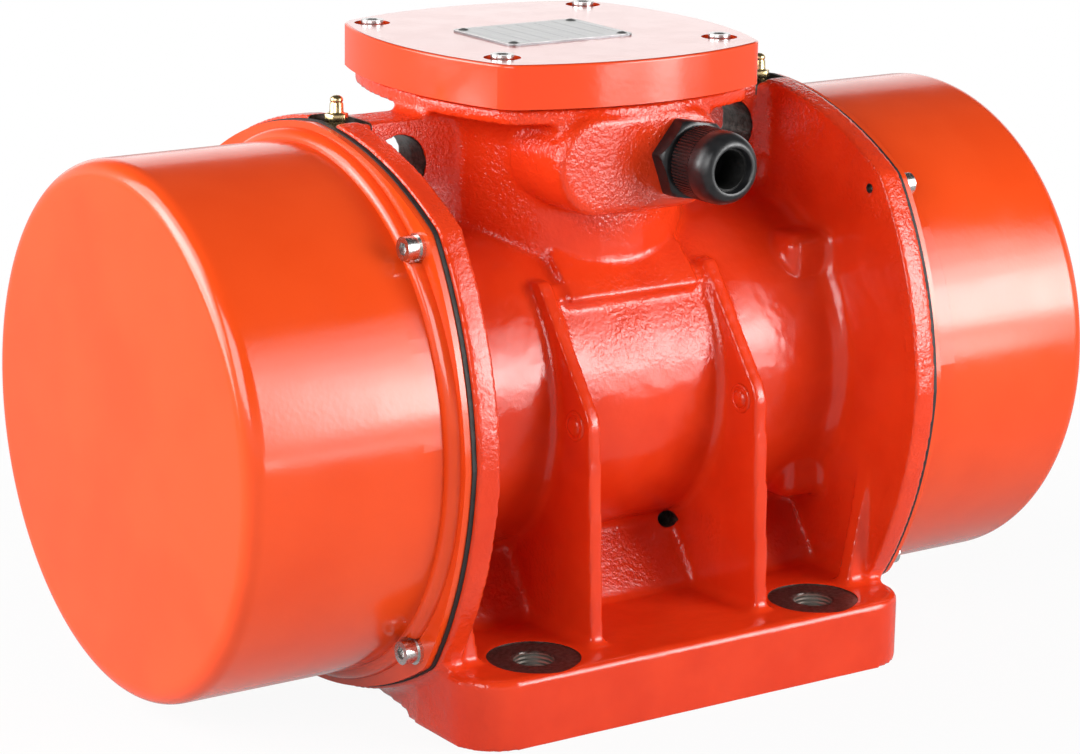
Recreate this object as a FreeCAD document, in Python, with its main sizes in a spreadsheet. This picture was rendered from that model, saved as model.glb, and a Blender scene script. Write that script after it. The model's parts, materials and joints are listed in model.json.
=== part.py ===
import FreeCAD, Part
import math
import os
import re

import Sketcher

# Vibration motor: a foot-mounted motor with an eccentric weight set at each end of its shaft.
# Frame: origin on the base plane at the centre of the four foot holes, +X along the shaft,
# -Y towards the cable gland, +Z up. Sizes are in millimetres.

SIZES = [
    # frame casting: feet
    ("axis_height", 125),
    ("foot_pitch_x", 150),
    ("foot_pitch_y", 200),
    ("foot_hole_radius", 8.5),
    ("spotface_radius", 20.2),
    ("spotface_depth", 0.7),
    ("foot_thickness", 30.7),
    ("foot_end_margin", 42),
    ("foot_side_margin", 22),
    ("foot_corner_radius", 22),
    ("foot_waist_depth", 7),
    ("foot_waist_width", 150),
    ("foot_edge_rounding", 3),
    ("base_relief_width", 124),
    ("base_relief_depth", 2),
    # frame casting: barrel, end flanges and what carries them
    ("barrel_radius", 75),
    ("bore_radius", 62),
    ("flange_face", 120),
    ("flange_thickness", 11),
    ("flange_flat_radius", 125.4),
    ("flange_corner_rise", 7.8),
    ("flange_side_curve", 186),
    ("flange_rounding", 15),
    ("flare_radius", 9),
    ("boss_square", 124),
    ("boss_length", 23),
    ("boss_rounding", 7),
    ("rib_offset", 44),
    ("rib_thickness", 7),
    ("rib_foot_reach", 103),
    ("rib_shoulder_reach", 98),
    ("rib_shoulder_rise", 4),
    ("rib_shoulder_curve", 14),
    ("rib_tip_reach", 58),
    ("rib_tip_rise", 56),
    ("rib_dimple_reach", 88),
    ("rib_dimple_radius", 6),
    ("rib_dimple_rise", 1.6),
    ("pedestal_top_half", 39),
    ("pedestal_top_drop", 67),
    ("pedestal_foot_half", 61),
    ("saddle_thickness", 5),
    ("saddle_half_length", 34),
    ("saddle_lean", 44.5),
    ("saddle_sweep", 18),
    ("gusset_reach", 91),
    ("gusset_width", 8),
    ("gusset_length", 11),
    ("gusset_height", 59),
    ("core_hole_radius", 4),
    ("core_hole_depth", 7),
    # frame casting: terminal box, webs, gland pad
    ("box_offset_y", 6),
    ("lid_half_length", 80),
    ("lid_half_width", 82),
    ("lid_corner_x", 66),
    ("lid_corner_y", 67),
    ("lid_corner_rounding", 13),
    ("rim_inset", 3.5),
    ("rim_thickness", 6.5),
    ("rim_stand", 6.6),
    ("neck_radius", 60),
    ("neck_flare", 13),
    ("neck_foot_rise", 25),
    ("box_wall", 8),
    ("box_depth", 53),
    ("lead_hole_radius", 11),
    ("web_thickness", 23),
    ("web_inner_end", 45),
    ("web_depth", 58),
    ("pillar_length", 34),
    ("pillar_ridge_inset", 2.75),
    ("pillar_ridge_radius", 2.5),
    ("nipple_flat_depth", 2.4),
    ("nipple_flat_inner", 103),
    ("lifting_hole_radius", 13),
    ("lifting_hole_offset", 88),
    ("lifting_hole_drop", 20),
    ("gland_offset", 18),
    ("gland_drop", 25),
    ("gland_pad_left", -26),
    ("gland_pad_radius", 21.7),
    ("gland_pad_face", 74),
    ("gland_pad_root", 35),
    ("gland_pad_rounding", 4),
    # covers
    ("cover_margin", 10.4),
    ("cover_wall", 2.5),
    ("cover_end", 220),
    ("cover_end_rounding", 10),
    ("cover_flange_thickness", 3),
    ("cover_flange_inset", 2.2),
    ("cover_root_rounding", 5),
    ("gasket_thickness", 2),
    ("gasket_inset", 1.6),
    ("cover_screw_inset", 3.4),
    ("cover_screw_radius", 3),
    ("screw_clearance", 0.3),
    ("thread_clearance", 0.05),
    ("thread_runout", 6),
    ("cover_screw_head_radius", 5),
    ("cover_screw_head_height", 6),
    ("cover_screw_length", 14),
    ("cover_screw_socket", 5),
    ("spring_washer_radius", 6),
    ("spring_washer_thickness", 1.6),
    ("plain_washer_radius", 6.6),
    ("plain_washer_thickness", 1),
    # lid
    ("lid_thickness", 19),
    ("lid_top_plate", 7),
    ("lid_edge_rounding", 1.2),
    ("lid_gasket_thickness", 1),
    ("lid_screw_half_x", 57),
    ("lid_screw_half_y", 53),
    ("lid_screw_offset_y", 10),
    ("lid_counterbore_radius", 8),
    ("lid_counterbore_depth", 5.5),
    ("lid_screw_length", 20),
    ("nameplate_length", 65),
    ("nameplate_width", 48),
    ("nameplate_thickness", 0.8),
    ("nameplate_offset_x", -6),
    ("nameplate_offset_y", 2.5),
    ("nameplate_corner", 3),
    ("rivet_margin", 4),
    ("rivet_radius", 1.6),
    ("rivet_head_radius", 2.6),
    ("rivet_head_rise", 0.8),
    ("rivet_length", 4),
    # terminals
    ("block_length", 60),
    ("block_width", 38),
    ("block_height", 18),
    ("block_offset_y", 22),
    ("barrier_thickness", 3),
    ("stud_pitch_x", 18),
    ("stud_pitch_y", 18),
    ("stud_radius", 2.5),
    ("stud_rise", 14),
    ("stud_root", 8),
    ("nut_flats", 8),
    ("nut_height", 4),
    ("earth_screw_offset_x", 43),
    ("earth_head_radius", 4.5),
    ("earth_socket", 4),
    ("earth_screw_length", 4),
    # cable gland
    ("gland_thread_radius", 12.5),
    ("gland_hex_flats", 33),
    ("gland_hex_height", 8),
    ("gland_grip_radius", 15.6),
    ("gland_grip_height", 5),
    ("gland_shank_length", 12),
    ("gland_nut_radius", 15.8),
    ("gland_nut_length", 25),
    ("gland_mouth_radius", 10),
    ("gland_mouth_rounding", 5),
    ("gland_seal_bore", 8.5),
    ("gland_seal_wall", 2.2),
    ("gland_nut_wall", 3),
    ("gland_nut_play", 1),
    ("gland_grip_groove", 1.5),
    ("gland_grip_length", 12),
    ("gland_grip_count", 18),
    # grease nipples
    ("nipple_offset", 112.6),
    ("nipple_hex_flats", 9),
    ("nipple_hex_height", 3.6),
    ("nipple_neck_radius", 3),
    ("nipple_throat_radius", 2.4),
    ("nipple_head_radius", 3.3),
    ("nipple_rise", 11),
    ("nipple_thread_radius", 3.9),
    ("nipple_thread_length", 5.5),
    # bearing brackets and bearings
    ("bracket_plate_radius", 92),
    ("bracket_plate_thickness", 9),
    ("bracket_spigot_end", 96),
    ("bracket_shoulder_radius", 34.5),
    ("bracket_bolt_offset", 53),
    ("bracket_bolt_radius", 5),
    ("bracket_bolt_length", 27),
    ("bracket_bolt_head_radius", 8),
    ("bracket_bolt_head_height", 9),
    ("bracket_bolt_socket", 8),
    ("fit_clearance", 0.05),
    ("bearing_start", 102),
    ("bearing_width", 21),
    ("bearing_outer_radius", 40),
    ("bearing_bore_radius", 17.5),
    ("inner_race_radius", 23),
    ("roller_radius", 5),
    ("roller_length", 13),
    ("roller_count", 10),
    ("roller_play", 0.05),
    ("bearing_lip", 2.4),
    ("cage_inner_radius", 26.4),
    ("cage_outer_radius", 29.6),
    ("cage_width", 18),
    ("cage_play", 0.2),
    ("cap_radius", 57),
    ("cap_thickness", 5),
    ("cap_screw_circle", 49),
    ("cap_screw_radius", 3),
    ("cap_screw_length", 13),
    ("seal_gap", 0.5),
    # stator and rotor
    ("core_half_length", 45),
    ("air_gap", 0.5),
    ("rotor_radius", 38),
    ("winding_outer_radius", 58),
    ("winding_inner_radius", 41),
    ("winding_overhang", 26),
    ("winding_rounding", 6),
    ("end_ring_outer", 36),
    ("end_ring_inner", 24),
    ("end_ring_length", 10),
    ("shaft_core_radius", 20),
    # eccentric weights
    ("spacer_radius", 22),
    ("weight_start", 142),
    ("weight_thickness", 28),
    ("weight_gap", 0.3),
    ("weight_radius", 98),
    ("weight_hub_radius", 28),
    ("weight_cut_height", 8),
    ("weight_seat_radius", 15),
    ("clamp_lug_half", 20),
    ("clamp_lug_height", 40),
    ("clamp_slot", 3),
    ("clamp_bolt_height", 30),
    ("clamp_bolt_radius", 4),
    ("clamp_bolt_head_radius", 6.5),
    ("clamp_bolt_head_height", 8),
    ("clamp_bolt_socket", 6),
    ("key_width", 8),
    ("key_height", 7),
    ("key_depth", 4),
    ("key_length", 24),
    ("ring_groove_radius", 13.6),
    ("ring_outer_radius", 19),
    ("ring_thickness", 2),
    ("shaft_end_margin", 4),
    # how far cutting tools run past a face, and how far cast walls run into each other
    ("cut_overrun", 1),
    ("wall_overlap", 1),
]

V = FreeCAD.Vector
doc = FreeCAD.newDocument("VibrationMotor")
sheet = doc.addObject("Spreadsheet::Sheet", "Sizes")
for row, (name, value) in enumerate(SIZES, start=1):
    sheet.set(f"A{row}", name)
    sheet.set(f"B{row}", str(value))
    sheet.setAlias(f"B{row}", name)
doc.recompute()
NAMES = {name for name, value in SIZES}
NODES = []

# --- shared places --------------------------------------------------------------------------

ON_SHAFT = ("0", "0", "axis_height")
ON_BASE = ("0", "0", "0")
SIDES = {"left": -1, "right": 1}
AXES = {"left": "-X", "right": "X"}
INWARD = {"left": "X", "right": "-X"}
DIAGONALS = (45, 135, 225, 315)

INNER_FACE = "(flange_face - flange_thickness)"
SLAB_TOP = "(foot_thickness - foot_edge_rounding)"
SLAB_SIDE = "(foot_pitch_y / 2 + foot_side_margin)"
FLANGE_CORNER = "(flange_flat_radius + flange_corner_rise)"
RIB_SHOULDER = "(axis_height + rib_shoulder_rise)"
PEDESTAL_TOP = "(axis_height - pedestal_top_drop)"
NECK_FOOT = "(axis_height + neck_foot_rise)"
NIPPLE_FLAT = "(axis_height + flange_flat_radius - nipple_flat_depth)"
RIM_TOP = "(axis_height + flange_flat_radius + rim_stand)"
RIM_FOOT = f"({RIM_TOP} - rim_thickness)"
BOX_FLOOR = f"({RIM_TOP} - box_depth)"
GLAND_LEVEL = f"({RIM_TOP} - gland_drop)"
LID_FOOT = f"({RIM_TOP} + lid_gasket_thickness)"
LID_TOP = f"({LID_FOOT} + lid_thickness)"
LID_SCREW_SEAT = f"({LID_TOP} - lid_counterbore_depth + plain_washer_thickness)"
LID_THREAD_END = f"({LID_SCREW_SEAT} - lid_screw_length - thread_runout)"
COVER_RADIUS = "(flange_flat_radius - cover_margin)"
COVER_SCREW_CIRCLE = "(flange_flat_radius - cover_screw_inset)"
COVER_FOOT = "(flange_face + gasket_thickness)"
COVER_SEAT = f"({COVER_FOOT} + cover_flange_thickness)"
BRACKET_FACE = "(flange_face + bracket_plate_thickness)"
BEARING_END = "(bearing_start + bearing_width)"
RING_START = "(weight_start + 2 * (weight_thickness + weight_gap))"
SHAFT_END = f"({RING_START} + ring_thickness + shaft_end_margin)"
KEY_START = "(weight_start + (weight_thickness - key_length) / 2)"
GLAND_AT = ("gland_offset", "-gland_pad_face", GLAND_LEVEL)
GLAND_BORE = "(gland_seal_bore + gland_seal_wall)"
GLAND_NECK_RADIUS = "(gland_nut_radius - gland_nut_wall)"
GLAND_NUT_START = "(gland_hex_height + gland_grip_height)"
GLAND_NECK_END = f"({GLAND_NUT_START} + gland_nut_length / 2)"
GLAND_SEAL_END = f"({GLAND_NUT_START} + gland_nut_length - gland_nut_wall - gland_mouth_rounding)"


# --- the document's own words ---------------------------------------------------------------

def expression(text):
    """The expression, with each size's name pointing at its cell in the sheet."""
    def cell(match):
        word = match.group()
        return "Sizes." + word if word in NAMES else word
    return re.sub(r"[A-Za-z_]\w*", cell, str(text))


def number(text):
    """What the expression is worth now."""
    return float(sheet.evalExpression(expression(text)))


def bind(piece, path, text):
    """Tie one property of a piece to an expression of the sizes."""
    piece.setExpression(path, expression(text))


TURNS = {
    "X": FreeCAD.Rotation(),
    "-X": FreeCAD.Rotation(V(0, 0, 1), 180),
    "Y": FreeCAD.Rotation(V(0, 0, 1), 90),
    "-Y": FreeCAD.Rotation(V(0, 0, 1), -90),
    "Z": FreeCAD.Rotation(V(0, 1, 0), -90),
    "-Z": FreeCAD.Rotation(V(0, 1, 0), 90),
}


def place(piece, at, along="X"):
    """Put a piece's own origin at a point, with its own X axis along one of the main axes."""
    piece.Placement = FreeCAD.Placement(V(), TURNS[along])
    for letter, text in zip("xyz", at):
        bind(piece, "Placement.Base." + letter, text)


def node(piece, label):
    """Keep a finished piece as a named part of the motor."""
    piece.Label = label
    NODES.append(piece)
    return piece


# --- sketches -------------------------------------------------------------------------------

def new_body(name):
    return doc.addObject("PartDesign::Body", name)


def new_sketch(body, name, role, offset="0"):
    """A sketch on one of the body's own origin planes, lifted along its normal by an offset."""
    plane = [part for part in body.Origin.OriginFeatures if part.Role == role][0]
    sketch = body.newObject("Sketcher::SketchObject", name)
    sketch.AttachmentSupport = [(plane, "")]
    sketch.MapMode = "FlatFace"
    bind(sketch, "AttachmentOffset.Base.z", offset)
    return sketch


def pin(sketch, geometry, point, x, y):
    """Hold one point of a sketch at the place that two expressions give."""
    for kind, text in (("DistanceX", x), ("DistanceY", y)):
        index = sketch.addConstraint(Sketcher.Constraint(kind, -1, 1, geometry, point, number(text)))
        bind(sketch, f"Constraints[{index}]", text)


def draw_loop(sketch, corners, curves=None):
    """A closed loop through corners given as pairs of expressions, anticlockwise.

    curves gives a side's radius by its number: a side that bulges out has a plain radius, and a
    hollow side has a radius that starts with a minus sign.
    """
    curves = curves or {}
    points = [V(number(x), number(y), 0) for x, y in corners]
    count = len(points)
    starts = []
    for side in range(count):
        start = points[side]
        end = points[(side + 1) % count]
        if side in curves:
            hollow = curves[side].startswith("-")
            radius = abs(number(curves[side]))
            if hollow:
                start, end = end, start
            middle = (start + end) * 0.5
            half = (end - start) * 0.5
            lift = math.sqrt(max(radius ** 2 - half.Length ** 2, 0))
            inward = V(-half.y, half.x, 0).normalize()
            centre = middle + inward * lift
            circle = Part.Circle(centre, V(0, 0, 1), radius)
            first = math.atan2(start.y - centre.y, start.x - centre.x)
            last = math.atan2(end.y - centre.y, end.x - centre.x)
            geometry = sketch.addGeometry(Part.ArcOfCircle(circle, first, last))
            starts.append((geometry, 2 if hollow else 1, 1 if hollow else 2))
        else:
            geometry = sketch.addGeometry(Part.LineSegment(start, end))
            starts.append((geometry, 1, 2))
    for side in range(count):
        geometry, first, last = starts[side]
        following = starts[(side + 1) % count]
        sketch.addConstraint(Sketcher.Constraint("Coincident", geometry, last, following[0], following[1]))
        pin(sketch, geometry, first, *corners[side])
        if side in curves:
            text = curves[side].lstrip("-")
            index = sketch.addConstraint(Sketcher.Constraint("Radius", geometry, number(text)))
            bind(sketch, f"Constraints[{index}]", text)


def draw_circle(sketch, x, y, radius):
    centre = V(number(x), number(y), 0)
    geometry = sketch.addGeometry(Part.Circle(centre, V(0, 0, 1), number(radius)))
    pin(sketch, geometry, 3, x, y)
    index = sketch.addConstraint(Sketcher.Constraint("Radius", geometry, number(radius)))
    bind(sketch, f"Constraints[{index}]", radius)


# --- solids ---------------------------------------------------------------------------------


def prism(name, role, corners, start, length, curves=None, holes=(), at=ON_BASE, along="X"):
    """An outline on an origin plane, padded from a start offset; holes are (x, y, radius)."""
    body = new_body(name)
    sketch = new_sketch(body, name + "_outline", role, start)
    draw_loop(sketch, corners, curves)
    for hole in holes:
        draw_circle(sketch, *hole)
    feature = body.newObject("PartDesign::Pad", name + "_pad")
    feature.Profile = sketch
    bind(feature, "Length", length)
    place(body, at, along)
    return body


def turn_profile(body, name, corners, curves=None):
    """Revolve a profile of (distance along, radius) corners about the body's X axis."""
    sketch = new_sketch(body, name + "_profile", "XZ_Plane")
    draw_loop(sketch, corners, curves)
    feature = body.newObject("PartDesign::Revolution", name + "_turn")
    feature.Profile = sketch
    feature.ReferenceAxis = (sketch, ["H_Axis"])
    feature.Angle = 360
    return feature


def turned(name, corners, curves=None, at=ON_SHAFT, along="X"):
    body = new_body(name)
    turn_profile(body, name, corners, curves)
    place(body, at, along)
    return body


def ring(name, start, end, inner, outer, at=ON_SHAFT, along="X"):
    corners = [(start, inner), (end, inner), (end, outer), (start, outer)]
    return turned(name, corners, at=at, along=along)


def hexagon(across_flats):
    """Six corners of a hexagon with two flats level, as expressions."""
    reach = f"({across_flats}) / (2 * cos(30 deg))"
    return [(f"{reach} * cos({60 * k} deg)", f"{reach} * sin({60 * k} deg)") for k in range(6)]


def sink(body, name, role, corners, start, depth, reverse=False, curves=None):
    """Pocket an outline out of a body, from a start offset along the plane's normal."""
    sketch = new_sketch(body, name + "_outline", role, start)
    draw_loop(sketch, corners, curves)
    feature = body.newObject("PartDesign::Pocket", name + "_pocket")
    feature.Profile = sketch
    feature.Reversed = reverse
    bind(feature, "Length", depth)
    return feature


def soften(body, name, size, wanted, kind="Fillet"):
    """Round or chamfer every edge of the body's last feature that passes a test."""
    doc.recompute()
    base = body.Tip
    edges = [f"Edge{k}" for k, edge in enumerate(base.Shape.Edges, start=1) if wanted(edge)]
    feature = body.newObject("PartDesign::" + kind, name)
    feature.Base = (base, edges)
    bind(feature, "Radius" if kind == "Fillet" else "Size", size)
    return feature


def runs_along(edge, axis):
    """Whether a straight edge runs along one main axis (0, 1 or 2)."""
    box = edge.BoundBox
    spans = [box.XLength, box.YLength, box.ZLength]
    return all(spans[k] < 1e-4 for k in range(3) if k != axis) and spans[axis] > 1e-4


def stands_on(edge, places):
    """Whether an upright edge stands on one of some (x, y) places."""
    middle = edge.CenterOfMass
    near = [abs(middle.x - x) + abs(middle.y - y) < 0.01 for x, y in places]
    return runs_along(edge, 2) and any(near)


def lies_at(edge, axis, place_text):
    """Whether an edge lies wholly in the plane at one coordinate."""
    box = edge.BoundBox
    low, high = [(box.XMin, box.XMax), (box.YMin, box.YMax), (box.ZMin, box.ZMax)][axis]
    target = number(place_text)
    return abs(low - target) < 1e-3 and abs(high - target) < 1e-3


def box(name, x, y, z):
    """A box between pairs of expressions."""
    piece = doc.addObject("Part::Box", name)
    for side, (low, high) in zip(("Length", "Width", "Height"), (x, y, z)):
        bind(piece, side, f"({high}) - ({low})")
    for letter, (low, high) in zip("xyz", (x, y, z)):
        bind(piece, "Placement.Base." + letter, low)
    return piece


ROD_TURNS = {
    "X": FreeCAD.Rotation(V(0, 1, 0), 90),
    "-X": FreeCAD.Rotation(V(0, 1, 0), -90),
    "Y": FreeCAD.Rotation(V(1, 0, 0), -90),
    "-Y": FreeCAD.Rotation(V(1, 0, 0), 90),
    "Z": FreeCAD.Rotation(),
}


def rod(name, radius, length, at, along="Z"):
    """A plain cylinder from a point along one of the main axes."""
    piece = doc.addObject("Part::Cylinder", name)
    bind(piece, "Radius", radius)
    bind(piece, "Height", length)
    piece.Placement = FreeCAD.Placement(V(), ROD_TURNS[along])
    for letter, text in zip("xyz", at):
        bind(piece, "Placement.Base." + letter, text)
    return piece


def fuse(name, pieces):
    piece = doc.addObject("Part::MultiFuse", name)
    piece.Shapes = pieces
    piece.Refine = True
    return piece


def cut(name, base, tools):
    piece = doc.addObject("Part::Cut", name)
    piece.Base = base
    piece.Tool = tools[0] if len(tools) == 1 else fuse(name + "_tools", tools)
    piece.Refine = True
    return piece


def group(name, pieces):
    """Several equal loose pieces as one node."""
    piece = doc.addObject("Part::Compound", name)
    piece.Links = pieces
    return piece


def signed(sign, text):
    return text if sign > 0 else f"-({text})"


def facing(sign, low, high):
    """A span along X on one side of the middle, as a (low, high) pair."""
    return (low, high) if sign > 0 else (f"-({high})", f"-({low})")


def four_signs():
    return [(x, y) for x in (1, -1) for y in (1, -1)]


# --- shared outlines ------------------------------------------------------------------------

def flange_outline(inset):
    """Eight bulged sides: shallow corners on the main axes, square ones between them."""
    corners = []
    for k in range(8):
        reach = "flange_flat_radius" if k % 2 == 0 else FLANGE_CORNER
        turn = f"({45 * k} deg)"
        corners.append((f"({reach} - {inset}) * cos{turn}", f"({reach} - {inset}) * sin{turn}"))
    return corners, {k: "flange_side_curve" for k in range(8)}


def on_square_corner(edge):
    """Whether an edge along X stands on a square corner of the flange outline."""
    y, z = abs(edge.CenterOfMass.y), abs(edge.CenterOfMass.z)
    return runs_along(edge, 0) and abs(y - z) < 1 and y > number("flange_flat_radius / 2")


def lid_outline(inset):
    """Four bulged sides round the terminal box, centred a little behind the shaft."""
    x = f"(lid_corner_x - ({inset}))"
    y = f"(lid_corner_y - ({inset}))"
    rise_x = "(lid_half_length - lid_corner_x)"
    rise_y = "(lid_half_width - lid_corner_y)"
    corners = [
        (x, f"box_offset_y - {y}"),
        (x, f"box_offset_y + {y}"),
        (f"-{x}", f"box_offset_y + {y}"),
        (f"-{x}", f"box_offset_y - {y}"),
    ]
    end_curve = f"({y} * {y} + {rise_x} * {rise_x}) / (2 * {rise_x})"
    side_curve = f"({x} * {x} + {rise_y} * {rise_y}) / (2 * {rise_y})"
    return corners, {0: end_curve, 1: side_curve, 2: end_curve, 3: side_curve}


def boxed(name, inset, start, length, holes=()):
    """A prism of the terminal box outline with its four corners rounded."""
    corners, curves = lid_outline(inset)
    body = prism(name, "XY_Plane", corners, start, length, curves, holes)
    corner_x = number(f"lid_corner_x - ({inset})")
    soften(body, name + "_corners", "lid_corner_rounding",
           lambda edge: runs_along(edge, 2) and abs(abs(edge.CenterOfMass.x) - corner_x) < 0.01)
    return body


def lid_screw_places():
    """Places of the lid's screws as (x, y) pairs of expressions."""
    places = []
    for x, y in four_signs():
        along_y = signed(y, "lid_screw_half_y")
        places.append((signed(x, "lid_screw_half_x"), f"lid_screw_offset_y + {along_y}"))
    return places


def circle_places(radius, angles):
    """Places round the shaft as (y, z) pairs of expressions."""
    return [(f"{radius} * cos({a} deg)", f"{radius} * sin({a} deg)") for a in angles]


# --- fasteners ------------------------------------------------------------------------------

def socket_screw(name, radius, length, head_radius, head_height, socket, at, along):
    """A cap screw whose head starts at the place and points along the axis."""
    corners = [
        (f"-({length})", "0"),
        (head_height, "0"),
        (head_height, head_radius),
        ("0", head_radius),
        ("0", radius),
        (f"-({length})", radius),
    ]
    body = turned(name, corners, at=at, along=along)
    sink(body, name + "_socket", "YZ_Plane", hexagon(socket), head_height, f"({head_height}) / 2")
    return body


def washer(name, inner, outer, thickness, at, along):
    return ring(name, "0", thickness, inner, outer, at=at, along=along)


# --- frame casting --------------------------------------------------------------------------


def feet():
    """The base slab: four bolt corners with waisted ends between them."""
    end = "(foot_pitch_x / 2 + foot_end_margin)"
    waist = "(foot_waist_width / 2)"
    corners = [
        (end, f"-{SLAB_SIDE}"),
        (end, f"-{waist}"),
        (end, waist),
        (end, SLAB_SIDE),
        (f"-{end}", SLAB_SIDE),
        (f"-{end}", waist),
        (f"-{end}", f"-{waist}"),
        (f"-{end}", f"-{SLAB_SIDE}"),
    ]
    scoop = f"-(({waist} * {waist} + foot_waist_depth * foot_waist_depth) / (2 * foot_waist_depth))"
    holes = []
    for x, y in four_signs():
        holes.append((signed(x, "foot_pitch_x / 2"), signed(y, "foot_pitch_y / 2"), "foot_hole_radius"))
    body = prism("feet", "XY_Plane", corners, "0", "foot_thickness", {1: scoop, 5: scoop}, holes)
    side = number(SLAB_SIDE)
    soften(body, "feet_corners", "foot_corner_radius",
           lambda edge: runs_along(edge, 2) and abs(abs(edge.CenterOfMass.y) - side) < 0.01)
    soften(body, "feet_top", "foot_edge_rounding",
           lambda edge: lies_at(edge, 2, "foot_thickness") and not edge.isClosed())
    return body


def barrel():
    """The round motor casing, flared where it meets the end flanges."""
    corners = [
        (f"-{INNER_FACE}", "0"),
        (INNER_FACE, "0"),
        (INNER_FACE, "barrel_radius + flare_radius"),
        (f"{INNER_FACE} - flare_radius", "barrel_radius"),
        (f"flare_radius - {INNER_FACE}", "barrel_radius"),
        (f"-{INNER_FACE}", "barrel_radius + flare_radius"),
    ]
    return turned("barrel", corners, {2: "-flare_radius", 4: "-flare_radius"})


def end_flange(side):
    """The thick plate that the cover and the bearing bracket bolt to."""
    corners, curves = flange_outline("0")
    name = f"flange_{side}"
    body = prism(name, "YZ_Plane", corners, INNER_FACE, "flange_thickness", curves,
                 at=ON_SHAFT, along=AXES[side])
    soften(body, name + "_corners", "flange_rounding", on_square_corner)
    return body


def bolt_bosses(side):
    """A square block behind each flange whose corners stand out of the barrel as bolt bosses."""
    half = "(boss_square / 2)"
    corners = [(half, f"-{half}"), (half, half), (f"-{half}", half), (f"-{half}", f"-{half}")]
    name = f"bosses_{side}"
    start = f"{INNER_FACE} - boss_length"
    body = prism(name, "YZ_Plane", corners, start, "boss_length", at=ON_SHAFT, along=AXES[side])
    soften(body, name + "_edges", "boss_rounding",
           lambda edge: runs_along(edge, 0) or lies_at(edge, 0, start))
    return body


def rib(side):
    """One upright plate from foot to foot, sloping in above its shoulders to the barrel's top."""
    upper = [
        ("rib_foot_reach", SLAB_TOP),
        ("rib_shoulder_reach", RIB_SHOULDER),
        ("rib_tip_reach", "axis_height + rib_tip_rise"),
    ]
    corners = upper + [(f"-{y}", z) for y, z in reversed(upper)]
    name = f"rib_{side}"
    start = "rib_offset - rib_thickness / 2"
    body = prism(name, "YZ_Plane", corners, start, "rib_thickness", along=AXES[side])
    shoulder = number(RIB_SHOULDER)
    soften(body, name + "_shoulders", "rib_shoulder_curve",
           lambda edge: runs_along(edge, 0) and abs(edge.CenterOfMass.z - shoulder) < 0.01)
    return body


def rib_dimple(name, x, y, along):
    """A shallow round button on a rib's face."""
    radius, rise = "rib_dimple_radius", "rib_dimple_rise"
    corners = [("-wall_overlap", "0"), (rise, "0"), ("0", radius), ("-wall_overlap", radius)]
    curve = f"({radius} * {radius} + {rise} * {rise}) / (2 * {rise})"
    return turned(name, corners, {1: curve}, at=(x, y, "axis_height"), along=along)


def rib_dimples():
    pieces = []
    for side, sign in SIDES.items():
        for front in (1, -1):
            for outward in (1, -1):
                x = signed(sign, f"rib_offset + {outward} * rib_thickness / 2")
                along = "X" if sign * outward > 0 else "-X"
                name = f"dimple_{side}_{len(pieces)}"
                pieces.append(rib_dimple(name, x, signed(-front, "rib_dimple_reach"), along))
    return pieces


def pedestal():
    """The sloping wall that carries the barrel on the base slab."""
    corners = [
        ("pedestal_foot_half", SLAB_TOP),
        ("pedestal_top_half", PEDESTAL_TOP),
        ("-pedestal_top_half", PEDESTAL_TOP),
        ("-pedestal_foot_half", SLAB_TOP),
    ]
    return prism("pedestal", "YZ_Plane", corners, f"-{INNER_FACE}", f"2 * {INNER_FACE}")


def saddle(name, lean):
    """A raised band on the barrel's shoulder between the ribs."""
    corners = [
        ("-saddle_half_length", "bore_radius + saddle_thickness"),
        ("saddle_half_length", "bore_radius + saddle_thickness"),
        ("saddle_half_length", "barrel_radius + saddle_thickness"),
        ("-saddle_half_length", "barrel_radius + saddle_thickness"),
    ]
    body = new_body(name)
    feature = turn_profile(body, name, corners)
    feature.Midplane = True
    bind(feature, "Angle", "saddle_sweep")
    body.Placement = FreeCAD.Placement(V(), FreeCAD.Rotation(V(1, 0, 0), 1))
    bind(body, "Placement.Base.z", "axis_height")
    bind(body, "Placement.Rotation.Angle", lean)
    return body


def gusset(side, front):
    """A slender fin between a foot corner and the flange above it."""
    name = f"gusset_{side}_{'front' if front < 0 else 'rear'}"
    root = f"{INNER_FACE} + wall_overlap"
    corners = [
        (f"{INNER_FACE} - gusset_length", SLAB_TOP),
        (root, SLAB_TOP),
        (root, "foot_thickness + gusset_height"),
    ]
    start = f"{signed(-SIDES[side] * front, 'gusset_reach')} - gusset_width / 2"
    return prism(name, "XZ_Plane", corners, start, "gusset_width", along=AXES[side])


def neck():
    """The round neck between the barrel and the terminal box rim, flared under the rim."""
    corners = [
        (NECK_FOOT, "0"),
        (RIM_FOOT, "0"),
        (RIM_FOOT, "neck_radius + neck_flare"),
        (f"{RIM_FOOT} - neck_flare", "neck_radius"),
        (NECK_FOOT, "neck_radius"),
    ]
    return turned("neck", corners, {2: "-neck_flare"}, at=("0", "box_offset_y", "0"), along="Z")


def rim():
    return boxed("rim", "rim_inset", RIM_FOOT, "rim_thickness")


def gland_pad():
    """The stadium-shaped pad that carries the cable entry."""
    low, high = f"{GLAND_LEVEL} - gland_pad_radius", f"{GLAND_LEVEL} + gland_pad_radius"
    corners = [
        ("gland_pad_left", low),
        ("gland_offset", low),
        ("gland_offset", high),
        ("gland_pad_left", high),
    ]
    ends = {1: "gland_pad_radius", 3: "gland_pad_radius"}
    depth = "gland_pad_face - gland_pad_root"
    body = prism("gland_pad", "XZ_Plane", corners, "gland_pad_root", depth, ends)
    soften(body, "gland_pad_edge", "gland_pad_rounding", lambda edge: lies_at(edge, 1, "-gland_pad_face"))
    return body


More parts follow.
